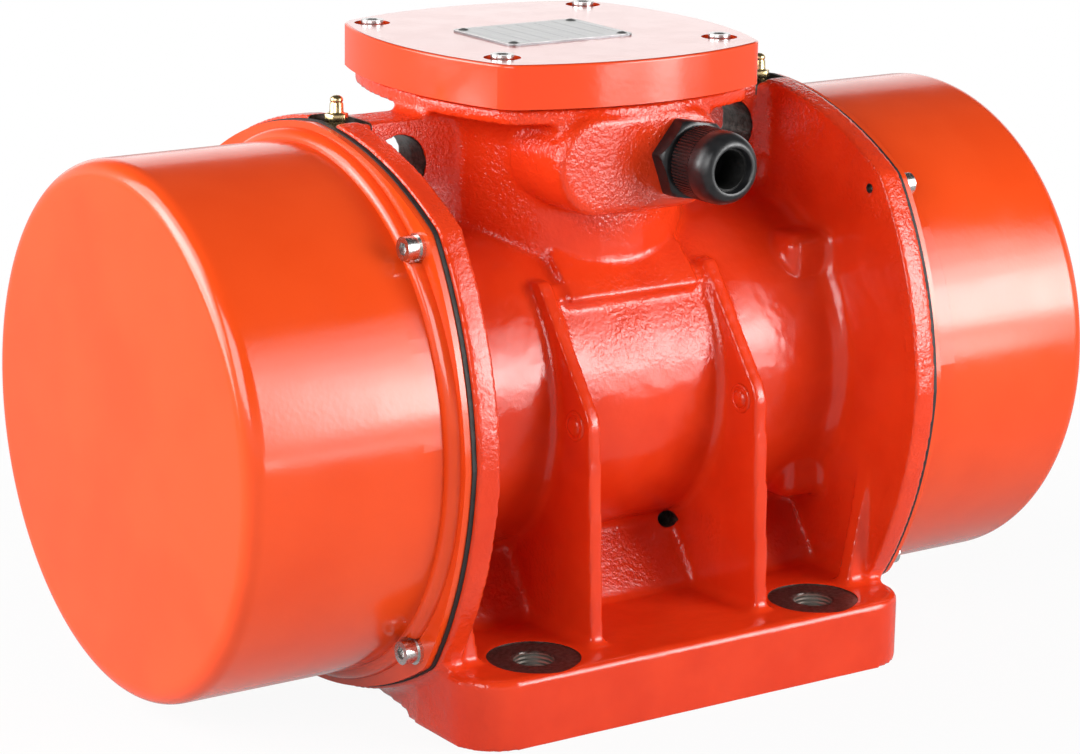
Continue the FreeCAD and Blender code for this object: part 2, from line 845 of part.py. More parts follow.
def web(side):
    """The lifting web from an end flange's top to the terminal box, and its pillar's ridge."""
    sign = SIDES[side]
    span = facing(sign, "web_inner_end", f"{INNER_FACE} + wall_overlap")
    across = ("-web_thickness / 2", "web_thickness / 2")
    plate = box(f"web_{side}", span, across, (f"{NIPPLE_FLAT} - web_depth", NIPPLE_FLAT))
    ridge_x = signed(sign, f"{INNER_FACE} - pillar_ridge_inset")
    ridge_at = (ridge_x, "-web_thickness / 2", f"{NIPPLE_FLAT} - pillar_length")
    return [plate, rod(f"ridge_{side}", "pillar_ridge_radius", "pillar_length", ridge_at)]


def frame_hollows():
    """Everything machined or cored out of the casting."""
    end = "(flange_face + cut_overrun)"
    side = f"({SLAB_SIDE} + cut_overrun)"
    relief = ("-base_relief_width / 2", "base_relief_width / 2")
    gland_at = ("gland_offset", "-gland_pad_face - cut_overrun", GLAND_LEVEL)
    core_x = "rib_offset - rib_thickness / 2 - core_hole_radius"
    core_at = (core_x, "-pedestal_foot_half", PEDESTAL_TOP)
    core_depth = "pedestal_foot_half - pedestal_top_half + core_hole_depth"
    hollows = [
        rod("stator_bore", "bore_radius", f"2 * {end}", (f"-{end}", "0", "axis_height"), "X"),
        rod("gland_hole", "gland_thread_radius + thread_clearance", "gland_pad_face", gland_at, "Y"),
        rod("lead_hole", "lead_hole_radius", f"{BOX_FLOOR} - axis_height + cut_overrun",
            ("0", "box_offset_y", "axis_height")),
        rod("box_cavity", "neck_radius - box_wall", "box_depth + cut_overrun",
            ("0", "box_offset_y", BOX_FLOOR)),
        rod("core_hole", "core_hole_radius", core_depth, core_at, "Y"),
        box("below_base", (f"-{end}", end), (f"-{side}", side), (f"-{FLANGE_CORNER}", "0")),
        box("base_relief", (f"-{end}", end), relief, ("-cut_overrun", "base_relief_depth")),
    ]
    hollows += foot_spotfaces() + lid_threads()
    for side in SIDES:
        hollows += flange_threads(side) + web_holes(side)
    return hollows


def foot_spotfaces():
    """The machined rings round the foot holes."""
    faces = []
    for k, (x, y) in enumerate(four_signs()):
        foot_x, foot_y = signed(x, "foot_pitch_x / 2"), signed(y, "foot_pitch_y / 2")
        at = (foot_x, foot_y, "foot_thickness - spotface_depth")
        faces.append(rod(f"spotface_{k}", "spotface_radius", "spotface_depth + cut_overrun", at))
    return faces


def lid_threads():
    """Threaded holes for the lid's screws in the rim, and the earth screw's in the box floor."""
    threads = []
    for k, (x, y) in enumerate(lid_screw_places()):
        depth = f"{RIM_TOP} - {LID_THREAD_END} + cut_overrun"
        radius = "cover_screw_radius + thread_clearance"
        threads.append(rod(f"lid_thread_{k}", radius, depth, (x, y, LID_THREAD_END)))
    earth_at = ("earth_screw_offset_x", "box_offset_y", f"{BOX_FLOOR} - earth_screw_length")
    earth_depth = "earth_screw_length + cut_overrun"
    threads.append(rod("earth_thread", "stud_radius + thread_clearance", earth_depth, earth_at))
    return threads


def flange_threads(side):
    """Threaded holes for one cover's screws and one bearing bracket's bolts."""
    face = signed(SIDES[side], "flange_face + cut_overrun")
    threads = []
    screw_depth = "flange_thickness + 2 * cut_overrun"
    for k, (y, z) in enumerate(circle_places(COVER_SCREW_CIRCLE, DIAGONALS)):
        threads.append(rod(f"cover_thread_{side}_{k}", "cover_screw_radius + thread_clearance",
                           screw_depth, (face, y, f"axis_height + {z}"), INWARD[side]))
    bolt_depth = "bracket_bolt_length - bracket_plate_thickness + thread_runout"
    for k, (y, z) in enumerate(bolt_places()):
        threads.append(rod(f"bolt_thread_{side}_{k}", "bracket_bolt_radius + thread_clearance",
                           bolt_depth, (face, y, z), INWARD[side]))
    return threads


def web_holes(side):
    """The lifting hole through one web, and its nipple's flat and thread."""
    sign = SIDES[side]
    flat = facing(sign, "nipple_flat_inner", "flange_face + cut_overrun")
    across = ("-web_thickness / 2", "web_thickness / 2")
    thread_foot = f"{NIPPLE_FLAT} - nipple_thread_length - cut_overrun"
    eye_at = (signed(sign, "lifting_hole_offset"), "-web_thickness", f"{NIPPLE_FLAT} - lifting_hole_drop")
    return [
        box(f"nipple_flat_{side}", flat, across, (NIPPLE_FLAT, f"axis_height + {FLANGE_CORNER}")),
        rod(f"nipple_thread_{side}", "nipple_thread_radius + thread_clearance",
            "nipple_thread_length + 2 * cut_overrun", (signed(sign, "nipple_offset"), "0", thread_foot)),
        rod(f"lifting_hole_{side}", "lifting_hole_radius", "2 * web_thickness", eye_at, "Y"),
    ]


def frame_casting():
    solids = [feet(), barrel(), pedestal(), neck(), rim(), gland_pad()]
    solids += [saddle("saddle_front", "saddle_lean"), saddle("saddle_rear", "-saddle_lean")]
    for side in SIDES:
        solids += [end_flange(side), bolt_bosses(side), rib(side)]
        solids += web(side)
        solids += [gusset(side, -1), gusset(side, 1)]
    solids += rib_dimples()
    return node(cut("casting", fuse("casting_solids", solids), frame_hollows()), "frame_casting")


# --- covers, their gaskets and screws -------------------------------------------------------

def cover(side):
    """A drawn cup with a flat bolting flange, closing one weight chamber."""
    name = f"{side}_cover"
    inner = f"({COVER_RADIUS} - cover_wall)"
    corners, curves = flange_outline("cover_flange_inset")
    body = prism(name + "_body", "YZ_Plane", corners, COVER_FOOT, "cover_flange_thickness", curves,
                 [("0", "0", inner)], ON_SHAFT, AXES[side])
    soften(body, name + "_corners", "flange_rounding - cover_flange_inset", on_square_corner)
    bend = "(cover_end_rounding - cover_wall)"
    cup = [
        (COVER_FOOT, f"{COVER_RADIUS} + cover_root_rounding"),
        (COVER_SEAT, f"{COVER_RADIUS} + cover_root_rounding"),
        (f"{COVER_SEAT} + cover_root_rounding", COVER_RADIUS),
        ("cover_end - cover_end_rounding", COVER_RADIUS),
        ("cover_end", f"{COVER_RADIUS} - cover_end_rounding"),
        ("cover_end", "0"),
        ("cover_end - cover_wall", "0"),
        ("cover_end - cover_wall", f"{inner} - {bend}"),
        (f"cover_end - cover_wall - {bend}", inner),
        (COVER_FOOT, inner),
    ]
    curves = {1: "-cover_root_rounding", 3: "cover_end_rounding", 7: f"-{bend}"}
    turn_profile(body, name + "_cup", cup, curves)
    tools = []
    for k, (y, z) in enumerate(circle_places(COVER_SCREW_CIRCLE, DIAGONALS)):
        tools += screw_seat(f"{name}_seat_{k}", side, y, f"axis_height + {z}")
    return node(cut(name + "_drilled", body, tools), name)


def screw_seat(name, side, y, z):
    """A clearance hole through a cover's flange, and a flat for the washer in its root fillet."""
    sign = SIDES[side]
    hole_at = (signed(sign, f"{COVER_FOOT} - cut_overrun"), y, z)
    hole_depth = "cover_flange_thickness + 2 * cut_overrun"
    return [
        rod(name + "_hole", "cover_screw_radius + screw_clearance", hole_depth, hole_at, AXES[side]),
        rod(name, "spring_washer_radius + screw_clearance", "cover_screw_head_height",
            (signed(sign, COVER_SEAT), y, z), AXES[side]),
    ]


def cover_gasket(side):
    """The flat rubber ring between a flange and its cover."""
    corners, curves = flange_outline("gasket_inset")
    holes = [("0", "0", f"{COVER_RADIUS} - cover_wall")]
    for y, z in circle_places(COVER_SCREW_CIRCLE, DIAGONALS):
        holes.append((y, z, "cover_screw_radius + screw_clearance"))
    name = f"{side}_cover_gasket"
    body = prism(name, "YZ_Plane", corners, "flange_face", "gasket_thickness", curves, holes,
                 ON_SHAFT, AXES[side])
    soften(body, name + "_corners", "flange_rounding - gasket_inset", on_square_corner)
    return node(body, name)


def cover_fasteners(side):
    """Four cap screws with spring washers round the cover's flange."""
    sign = SIDES[side]
    screws = []
    washers = []
    for k, (y, z) in enumerate(circle_places(COVER_SCREW_CIRCLE, DIAGONALS)):
        height = f"axis_height + {z}"
        head_at = (signed(sign, f"{COVER_SEAT} + spring_washer_thickness"), y, height)
        screws.append(socket_screw(
            f"cover_screw_{side}_{k}", "cover_screw_radius", "cover_screw_length", "cover_screw_head_radius",
            "cover_screw_head_height", "cover_screw_socket", head_at, AXES[side]))
        washers.append(washer(
            f"cover_washer_{side}_{k}", "cover_screw_radius + screw_clearance", "spring_washer_radius",
            "spring_washer_thickness", (signed(sign, COVER_SEAT), y, height), AXES[side]))
    node(group(f"cover_screw_group_{side}", screws), f"{side}_cover_screws")
    node(group(f"cover_washer_group_{side}", washers), f"{side}_cover_washers")


# --- terminal box: lid, gasket, screws, nameplate, terminals ------------------------------------


def lid():
    """The terminal box lid: a thick plate, hollow below, with counterbored corners."""
    holes = [(x, y, "cover_screw_radius + screw_clearance") for x, y in lid_screw_places()]
    body = boxed("lid_plate", "0", LID_FOOT, "lid_thickness", holes)
    soften(body, "lid_edge", "lid_edge_rounding",
           lambda edge: lies_at(edge, 2, LID_TOP) and not edge.isClosed())
    hollow_at = ("0", "box_offset_y", f"{LID_FOOT} - cut_overrun")
    hollow_depth = "lid_thickness - lid_top_plate + cut_overrun"
    tools = [rod("lid_hollow", "neck_radius - box_wall", hollow_depth, hollow_at)]
    for k, (x, y) in enumerate(lid_screw_places()):
        tools.append(rod(f"counterbore_{k}", "lid_counterbore_radius", "lid_counterbore_depth + cut_overrun",
                         (x, y, f"{LID_TOP} - lid_counterbore_depth")))
    for k, (x, y) in enumerate(rivet_places()):
        tools.append(rod(f"rivet_hole_{k}", "rivet_radius", "rivet_length + cut_overrun",
                         (x, y, f"{LID_TOP} - rivet_length")))
    return node(cut("lid", body, tools), "terminal_lid")


def lid_gasket():
    holes = [(x, y, "cover_screw_radius + screw_clearance") for x, y in lid_screw_places()]
    holes.append(("0", "box_offset_y", "neck_radius - box_wall"))
    inset = "rim_inset + gasket_inset"
    return node(boxed("lid_seal", inset, RIM_TOP, "lid_gasket_thickness", holes), "lid_gasket")


def lid_fasteners():
    """Cap screws on plain washers, sunk in the lid's counterbores."""
    screws = []
    washers = []
    for k, (x, y) in enumerate(lid_screw_places()):
        screws.append(socket_screw(
            f"lid_screw_{k}", "cover_screw_radius", "lid_screw_length", "cover_screw_head_radius",
            "cover_screw_head_height", "cover_screw_socket", (x, y, LID_SCREW_SEAT), "Z"))
        washers.append(washer(
            f"lid_washer_{k}", "cover_screw_radius + screw_clearance", "plain_washer_radius",
            "plain_washer_thickness", (x, y, f"{LID_SCREW_SEAT} - plain_washer_thickness"), "Z"))
    node(group("lid_screw_group", screws), "lid_screws")
    node(group("lid_washer_group", washers), "lid_washers")


def plate_place(share_x, share_y, margin="0"):
    """A point of the nameplate, from its middle to its corners (-1 to 1)."""
    x = f"nameplate_offset_x + {share_x} * (nameplate_length / 2 - {margin})"
    y = f"nameplate_offset_y + {share_y} * (nameplate_width / 2 - {margin})"
    return x, y


def rivet_places():
    return [plate_place(x, y, "rivet_margin") for x, y in four_signs()]


def nameplate():
    """A bare riveted plate on the lid."""
    corners = [plate_place(*signs) for signs in ((-1, -1), (1, -1), (1, 1), (-1, 1))]
    holes = [(x, y, "rivet_radius") for x, y in rivet_places()]
    body = prism("nameplate", "XY_Plane", corners, LID_TOP, "nameplate_thickness", holes=holes)
    places = [(number(x), number(y)) for x, y in corners]
    soften(body, "nameplate_corners", "nameplate_corner", lambda edge: stands_on(edge, places))
    return node(body, "nameplate")


def nameplate_rivets():
    """Four domed rivets through the nameplate into the lid."""
    rise = "rivet_head_rise"
    corners = [
        ("-rivet_length", "0"),
        (f"nameplate_thickness + {rise}", "0"),
        ("nameplate_thickness", "rivet_head_radius"),
        ("nameplate_thickness", "rivet_radius"),
        ("-rivet_length", "rivet_radius"),
    ]
    curve = f"(rivet_head_radius * rivet_head_radius + {rise} * {rise}) / (2 * {rise})"
    rivets = []
    for k, (x, y) in enumerate(rivet_places()):
        rivets.append(turned(f"rivet_{k}", corners, {1: curve}, at=(x, y, LID_TOP), along="Z"))
    return node(group("rivet_group", rivets), "nameplate_rivets")


def terminal_places():
    places = []
    for column in (-1, 0, 1):
        for row in (-1, 1):
            places.append((f"{column} * stud_pitch_x", f"block_offset_y + {row} * stud_pitch_y / 2"))
    return places


def terminals():
    """The moulded terminal block on the box floor, with six studs and nuts, and an earth screw."""
    x = ("-block_length / 2", "block_length / 2")
    y = ("block_offset_y - block_width / 2", "block_offset_y + block_width / 2")
    top = f"{BOX_FLOOR} + block_height"
    solids = [box("block_body", x, y, (BOX_FLOOR, top))]
    for side, sign in SIDES.items():
        middle = f"{sign} * stud_pitch_x / 2"
        barrier = (f"{middle} - barrier_thickness / 2", f"{middle} + barrier_thickness / 2")
        solids.append(box(f"barrier_{side}", barrier, y, (BOX_FLOOR, f"{top} + nut_height")))
    holes = []
    studs = []
    nuts = []
    for k, (x, y) in enumerate(terminal_places()):
        at = (x, y, f"{top} - stud_root")
        holes.append(rod(f"stud_hole_{k}", "stud_radius", "stud_root + cut_overrun", at))
        studs.append(rod(f"stud_{k}", "stud_radius", "stud_root + stud_rise", at))
        nuts.append(hex_nut(f"nut_{k}", x, y, top))
    node(cut("block", fuse("block_solids", solids), holes), "terminal_block")
    node(group("stud_group", studs), "terminal_studs")
    node(group("nut_group", nuts), "terminal_nuts")
    earth_at = ("earth_screw_offset_x", "box_offset_y", BOX_FLOOR)
    node(socket_screw("earth_cap_screw", "stud_radius", "earth_screw_length", "earth_head_radius",
                      "nut_height", "earth_socket", earth_at, "Z"), "earth_screw")


def hex_nut(name, x, y, height):
    corners = [(f"{px} + {x}", f"{py} + {y}") for px, py in hexagon("nut_flats")]
    return prism(name, "XY_Plane", corners, height, "nut_height", holes=[(x, y, "stud_radius")])


# --- cable gland and grease nipples -----------------------------------------------------------


def cable_gland():
    """A nylon gland on the pad: hexagon body, rubber seal and dome nut."""
    node(gland_body(), "gland_body")
    seal = ring("gland_sleeve", "gland_hex_height", GLAND_SEAL_END, "gland_seal_bore", GLAND_BORE,
                GLAND_AT, "-Y")
    node(seal, "gland_seal")
    return node(gland_nut(), "gland_nut")


def gland_body():
    """The hexagon with its screwed shank, and a threaded neck that the dome nut turns on."""
    corners = [
        ("-gland_shank_length", GLAND_BORE),
        (GLAND_NECK_END, GLAND_BORE),
        (GLAND_NECK_END, GLAND_NECK_RADIUS),
        (GLAND_NUT_START, GLAND_NECK_RADIUS),
        (GLAND_NUT_START, "gland_grip_radius"),
        ("gland_hex_height", "gland_grip_radius"),
        ("gland_hex_height", "gland_thread_radius"),
        ("-gland_shank_length", "gland_thread_radius"),
    ]
    body = turned("gland_shank", corners, at=GLAND_AT, along="-Y")
    sketch = new_sketch(body, "gland_hex", "YZ_Plane")
    draw_loop(sketch, hexagon("gland_hex_flats"))
    draw_circle(sketch, "0", "0", GLAND_BORE)
    pad = body.newObject("PartDesign::Pad", "gland_hex_pad")
    pad.Profile = sketch
    bind(pad, "Length", "gland_hex_height")
    return body


def gland_nut():
    """The dome nut with a round mouth for the cable and grip ribs round its skirt."""
    end = "(" + GLAND_NUT_START + " + gland_nut_length)"
    corners = [
        (GLAND_NUT_START, f"{GLAND_NECK_RADIUS} + thread_clearance"),
        (f"{GLAND_NECK_END} + gland_nut_play", f"{GLAND_NECK_RADIUS} + thread_clearance"),
        (GLAND_SEAL_END, f"{GLAND_BORE} + thread_clearance"),
        (GLAND_SEAL_END, "gland_mouth_radius"),
        (end, "gland_mouth_radius"),
        (end, "gland_nut_radius - gland_mouth_rounding"),
        (f"{end} - gland_mouth_rounding", "gland_nut_radius"),
        (GLAND_NUT_START, "gland_nut_radius"),
    ]
    body = turned("gland_dome", corners, {5: "gland_mouth_rounding"}, GLAND_AT, "-Y")
    sketch = new_sketch(body, "gland_grip", "YZ_Plane", GLAND_NUT_START)
    reach = "(gland_nut_radius + gland_grip_groove / 4)"
    draw_circle(sketch, reach, "0", "gland_grip_groove / 2")
    groove = body.newObject("PartDesign::Pocket", "gland_grip_pocket")
    groove.Profile = sketch
    groove.Reversed = True
    bind(groove, "Length", "gland_grip_length")
    around_shaft(body, groove, "gland_grip_count")
    return body


def grease_nipple(side):
    """A brass nipple: hexagon, waisted neck and ball head, screwed into the flange's flat."""
    name = f"{side}_grease_nipple"
    at = (signed(SIDES[side], "nipple_offset"), "0", NIPPLE_FLAT)
    shoulder = "(nipple_rise - 2 * nipple_head_radius)"
    chamfer = "nipple_head_radius / 2"
    corners = [
        ("-nipple_thread_length", "0"),
        ("nipple_rise", "0"),
        ("nipple_rise", chamfer),
        (f"nipple_rise - {chamfer}", "nipple_head_radius"),
        (f"{shoulder} + {chamfer}", "nipple_head_radius"),
        (shoulder, "nipple_throat_radius"),
        ("nipple_hex_height", "nipple_neck_radius"),
        ("0", "nipple_neck_radius"),
        ("0", "nipple_thread_radius"),
        ("-nipple_thread_length", "nipple_thread_radius"),
    ]
    body = turned(name, corners, {2: "nipple_head_radius"}, at, "Z")
    sketch = new_sketch(body, name + "_hex", "YZ_Plane")
    draw_loop(sketch, hexagon("nipple_hex_flats"))
    pad = body.newObject("PartDesign::Pad", name + "_hex_pad")
    pad.Profile = sketch
    bind(pad, "Length", "nipple_hex_height")
    return node(body, name)


# --- bearing brackets and bearings ------------------------------------------------------------


def bearing_bracket(side):
    """The end shield: a plate on the flange face, a spigot in the bore and the bearing's seat."""
    name = f"{side}_bearing_bracket"
    corners = [
        ("bracket_spigot_end", "bracket_shoulder_radius"),
        ("bearing_start", "bracket_shoulder_radius"),
        ("bearing_start", "bearing_outer_radius"),
        (BRACKET_FACE, "bearing_outer_radius"),
        (BRACKET_FACE, "bracket_plate_radius"),
        ("flange_face", "bracket_plate_radius"),
        ("flange_face", "bore_radius - fit_clearance"),
        ("bracket_spigot_end", "bore_radius - fit_clearance"),
    ]
    body = turned(name + "_body", corners, along=AXES[side])
    tools = []
    face = signed(SIDES[side], f"{BRACKET_FACE} + cut_overrun")
    for k, (y, z) in enumerate(bolt_places()):
        tools.append(rod(f"{name}_bolt_hole_{k}", "bracket_bolt_radius + screw_clearance",
                         "bracket_plate_thickness + 2 * cut_overrun", (face, y, z), INWARD[side]))
    for k, (y, z) in enumerate(circle_places("cap_screw_circle", DIAGONALS)):
        tools.append(rod(f"{name}_cap_thread_{k}", "cap_screw_radius + thread_clearance",
                         "cap_screw_length", (face, y, f"axis_height + {z}"), INWARD[side]))
    return node(cut(name + "_drilled", body, tools), name)


def bolt_places():
    """Places of a bearing bracket's bolts as (y, z) pairs of expressions."""
    places = []
    for y, z in four_signs():
        level = f"axis_height + {signed(z, 'bracket_bolt_offset')}"
        places.append((signed(y, "bracket_bolt_offset"), level))
    return places


def bracket_fasteners(side):
    head = signed(SIDES[side], BRACKET_FACE)
    bolts = []
    for k, (y, z) in enumerate(bolt_places()):
        bolts.append(socket_screw(
            f"bracket_bolt_{side}_{k}", "bracket_bolt_radius", "bracket_bolt_length",
            "bracket_bolt_head_radius", "bracket_bolt_head_height", "bracket_bolt_socket",
            (head, y, z), AXES[side]))
    return node(group(f"bracket_bolt_group_{side}", bolts), f"{side}_bracket_bolts")


def bearing_cap(side):
    """The retaining cap over the bearing, with its four screws."""
    name = f"{side}_bearing_cap"
    outer_face = f"({BRACKET_FACE} + cap_thickness)"
    corners = [
        (BEARING_END, "spacer_radius + seal_gap"),
        (outer_face, "spacer_radius + seal_gap"),
        (outer_face, "cap_radius"),
        (BRACKET_FACE, "cap_radius"),
        (BRACKET_FACE, "bearing_outer_radius - fit_clearance"),
        (BEARING_END, "bearing_outer_radius - fit_clearance"),
    ]
    body = turned(name + "_body", corners, along=AXES[side])
    tools = []
    screws = []
    seat = signed(SIDES[side], outer_face)
    for k, (y, z) in enumerate(circle_places("cap_screw_circle", DIAGONALS)):
        height = f"axis_height + {z}"
        start = (signed(SIDES[side], f"{outer_face} + cut_overrun"), y, height)
        tools.append(rod(f"{name}_hole_{k}", "cap_screw_radius + screw_clearance",
                         "cap_thickness + 2 * cut_overrun", start, INWARD[side]))
        screws.append(socket_screw(
            f"cap_screw_{side}_{k}", "cap_screw_radius", "cap_screw_length", "cover_screw_head_radius",
            "cover_screw_head_height", "cover_screw_socket", (seat, y, height), AXES[side]))
    node(cut(name + "_drilled", body, tools), name)
    return node(group(f"cap_screw_group_{side}", screws), f"{side}_cap_screws")


def roller_centre():
    return "(inner_race_radius + roller_play + roller_radius)"


def bearing(side):
    """A cylindrical roller bearing: flanged outer ring, cage, rollers and plain inner ring."""
    race = f"({roller_centre()} + roller_radius + roller_play)"
    lip = f"({race} - bearing_lip)"
    track = "((bearing_width - roller_length) / 2 - roller_play)"
    start = f"(bearing_start + {track})"
    end = f"({BEARING_END} - {track})"
    outer = [
        ("bearing_start", lip),
        (start, lip),
        (start, race),
        (end, race),
        (end, lip),
        (BEARING_END, lip),
        (BEARING_END, "bearing_outer_radius"),
        ("bearing_start", "bearing_outer_radius"),
    ]
    node(turned(f"{side}_outer_race", outer, along=AXES[side]), f"{side}_bearing_outer_ring")
    inner = ring(f"{side}_inner_race", "bearing_start", BEARING_END,
                 "bearing_bore_radius", "inner_race_radius", along=AXES[side])
    node(inner, f"{side}_bearing_inner_ring")
    node(bearing_cage(side), f"{side}_bearing_cage")
    node(bearing_rollers(side), f"{side}_bearing_rollers")


def around_shaft(body, feature, count):
    """Repeat a feature round the body's X axis."""
    pattern = body.newObject("PartDesign::PolarPattern", feature.Name + "_pattern")
    pattern.Originals = [feature]
    axis = [part for part in body.Origin.OriginFeatures if part.Role == "X_Axis"][0]
    pattern.Axis = (axis, [""])
    pattern.Angle = 360
    bind(pattern, "Occurrences", count)
    body.Tip = pattern
    return pattern


def bearing_cage(side):
    """A ring with a window for each roller."""
    middle = "(bearing_start + bearing_width / 2)"
    name = f"{side}_cage"
    body = ring(name, f"{middle} - cage_width / 2", f"{middle} + cage_width / 2",
                "cage_inner_radius", "cage_outer_radius", along=AXES[side])
    half_x = "(roller_length / 2 + cage_play)"
    half_y = "(roller_radius + cage_play)"
    corners = [
        (f"{middle} - {half_x}", f"-{half_y}"),
        (f"{middle} + {half_x}", f"-{half_y}"),
        (f"{middle} + {half_x}", half_y),
        (f"{middle} - {half_x}", half_y),
    ]
    depth = "cage_outer_radius + cut_overrun"
    pocket = sink(body, name + "_window", "XY_Plane", corners, "0", depth, reverse=True)
    around_shaft(body, pocket, "roller_count")
    return body


def bearing_rollers(side):
    """All the rollers of one bearing, evenly spaced round the inner ring."""
    name = f"{side}_rollers"
    middle = "(bearing_start + bearing_width / 2)"
    body = new_body(name)
    body.AllowCompound = True
    sketch = new_sketch(body, name + "_circle", "YZ_Plane", f"{middle} - roller_length / 2")
    draw_circle(sketch, "0", roller_centre(), "roller_radius")
    pad = body.newObject("PartDesign::Pad", name + "_pad")
    pad.Profile = sketch
    bind(pad, "Length", "roller_length")
    around_shaft(body, pad, "roller_count")
    place(body, ON_SHAFT, AXES[side])
    return body


# --- stator and rotor -------------------------------------------------------------------------

def stator():
    """The laminated stator core and the two rings of end windings."""
    inner = "(rotor_radius + air_gap)"
    node(ring("stator_core", "-core_half_length", "core_half_length", inner, "bore_radius"), "stator_core")
    heads = []
    end = "(core_half_length + winding_overhang)"
    for side in SIDES:
        corners = [
            ("core_half_length", "winding_inner_radius"),
            (f"{end} - winding_rounding", "winding_inner_radius"),
            (end, "winding_inner_radius + winding_rounding"),
            (end, "winding_outer_radius - winding_rounding"),
            (f"{end} - winding_rounding", "winding_outer_radius"),
            ("core_half_length", "winding_outer_radius"),
        ]
        curves = {1: "winding_rounding", 3: "winding_rounding"}
        heads.append(turned(f"winding_{side}", corners, curves, along=AXES[side]))
    node(group("winding_heads", heads), "stator_windings")


def shaft():
    """The stepped shaft with a keyway and a ring groove at each end."""
    half = [
        ("bearing_start", "shaft_core_radius"),
        ("bearing_start", "bearing_bore_radius"),
        ("weight_start", "bearing_bore_radius"),
        ("weight_start", "weight_seat_radius"),
        (RING_START, "weight_seat_radius"),
        (RING_START, "ring_groove_radius"),
        (f"{RING_START} + ring_thickness", "ring_groove_radius"),
        (f"{RING_START} + ring_thickness", "weight_seat_radius"),
        (SHAFT_END, "weight_seat_radius"),
        (SHAFT_END, "0"),
    ]
    right = half[::-1]
    left = [(f"-({x})", r) for x, r in half]
    body = turned("shaft_body", right + left)
    tools = [key_box(side, f"keyway_{side}") for side in SIDES]
    return node(cut("shaft", body, tools), "rotor_shaft")


def key_box(side, name):
    """The parallel key's own space, half in the shaft and half in the weight's hub."""
    span = facing(SIDES[side], KEY_START, f"{KEY_START} + key_length")
    foot = "axis_height + weight_seat_radius - key_depth"
    return box(name, span, ("-key_width / 2", "key_width / 2"), (foot, f"{foot} + key_height"))


def rotor():
    """The laminated rotor core on the shaft and its two cast end rings."""
    core = ring("rotor_stack", "-core_half_length", "core_half_length", "shaft_core_radius", "rotor_radius")
    node(core, "rotor_core")
    rings = []
    for side in SIDES:
        end = "core_half_length + end_ring_length"
        rings.append(ring(f"end_ring_{side}", "core_half_length", end, "end_ring_inner", "end_ring_outer",
                          along=AXES[side]))
    node(group("end_rings", rings), "rotor_end_rings")


# --- eccentric weights ------------------------------------------------------------------------

def weight_solids(name, side, start):
    """Half a disc hanging below the shaft, with a hub round the shaft."""
    level = "-weight_cut_height"
    reach = "sqrt(weight_radius * weight_radius - weight_cut_height * weight_cut_height)"
    corners = [(f"-{reach}", level), (reach, level)]
    sector = prism(name + "_sector", "YZ_Plane", corners, start, "weight_thickness", {0: "weight_radius"},
                   at=ON_SHAFT, along=AXES[side])
    hub_at = (signed(SIDES[side], start), "0", "axis_height")
    return [sector, rod(name + "_hub", "weight_hub_radius", "weight_thickness", hub_at, AXES[side])]


def weight_bore(name, side, start, radius):
    """The shaft's hole through a weight."""
    at = (signed(SIDES[side], f"{start} - cut_overrun"), "0", "axis_height")
    return rod(name, radius, "weight_thickness + 2 * cut_overrun", at, AXES[side])


def fixed_weight(side):
    """The inner weight, keyed to the shaft."""
    name = f"{side}_fixed_weight"
    solids = weight_solids(name, side, "weight_start")
    bore = weight_bore(name + "_bore", side, "weight_start", "weight_seat_radius")
    node(cut(name + "_cut", fuse(name + "_solids", solids), [bore, key_box(side, name + "_keyway")]), name)
    return node(key_box(side, f"{side}_key"), f"{side}_weight_key")


def adjustable_weight(side):
    """The outer weight: its split hub is clamped at any angle to the fixed one."""
    name = f"{side}_adjustable_weight"
    sign = SIDES[side]
    start = "(weight_start + weight_thickness + weight_gap)"
    end = f"({start} + weight_thickness)"
    lug = box(name + "_lug", facing(sign, start, end), ("-clamp_lug_half", "clamp_lug_half"),
              ("axis_height", "axis_height + clamp_lug_height"))
    solids = weight_solids(name, side, start) + [lug]
    wide = facing(sign, f"{start} - cut_overrun", f"{end} + cut_overrun")
    slot = box(name + "_slot", wide, ("-clamp_slot / 2", "clamp_slot / 2"),
               ("axis_height", "axis_height + clamp_lug_height + cut_overrun"))
    middle = signed(sign, f"{start} + weight_thickness / 2")
    bolt_level = "axis_height + clamp_bolt_height"
    hole_at = (middle, "-clamp_lug_half - cut_overrun", bolt_level)
    hole = rod(name + "_bolt_hole", "clamp_bolt_radius + thread_clearance",
               "2 * (clamp_lug_half + cut_overrun)", hole_at, "Y")
    bore = weight_bore(name + "_bore", side, start, "weight_seat_radius + fit_clearance")
    node(cut(name + "_cut", fuse(name + "_solids", solids), [bore, slot, hole]), name)
    bolt = socket_screw(
        f"clamp_bolt_{side}", "clamp_bolt_radius", "2 * clamp_lug_half", "clamp_bolt_head_radius",
        "clamp_bolt_head_height", "clamp_bolt_socket", (middle, "clamp_lug_half", bolt_level), "Y")
    return node(bolt, f"{side}_clamp_bolt")


def shaft_rings(side):
    """The spacer between bearing and weights, and the retaining ring outside them."""
    spacer = ring(f"{side}_spacer", BEARING_END, "weight_start", "bearing_bore_radius", "spacer_radius",
                  along=AXES[side])
    node(spacer, f"{side}_spacer_sleeve")
    end = f"{RING_START} + ring_thickness"
    retainer = ring(f"{side}_retainer", RING_START, end, "ring_groove_radius", "ring_outer_radius",
                    along=AXES[side])
    return node(retainer, f"{side}_retaining_ring")


# --- the whole motor --------------------------------------------------------------------------

def build():
    frame_casting()
    stator()
    shaft()
    rotor()
    for side in SIDES:
        bearing_bracket(side)
        bracket_fasteners(side)
        bearing_cap(side)
        bearing(side)
        shaft_rings(side)
        fixed_weight(side)
        adjustable_weight(side)
        cover(side)
        cover_gasket(side)
        cover_fasteners(side)
        grease_nipple(side)
    lid()
    lid_gasket()
    lid_fasteners()
    nameplate()
    nameplate_rivets()
    terminals()
    cable_gland()


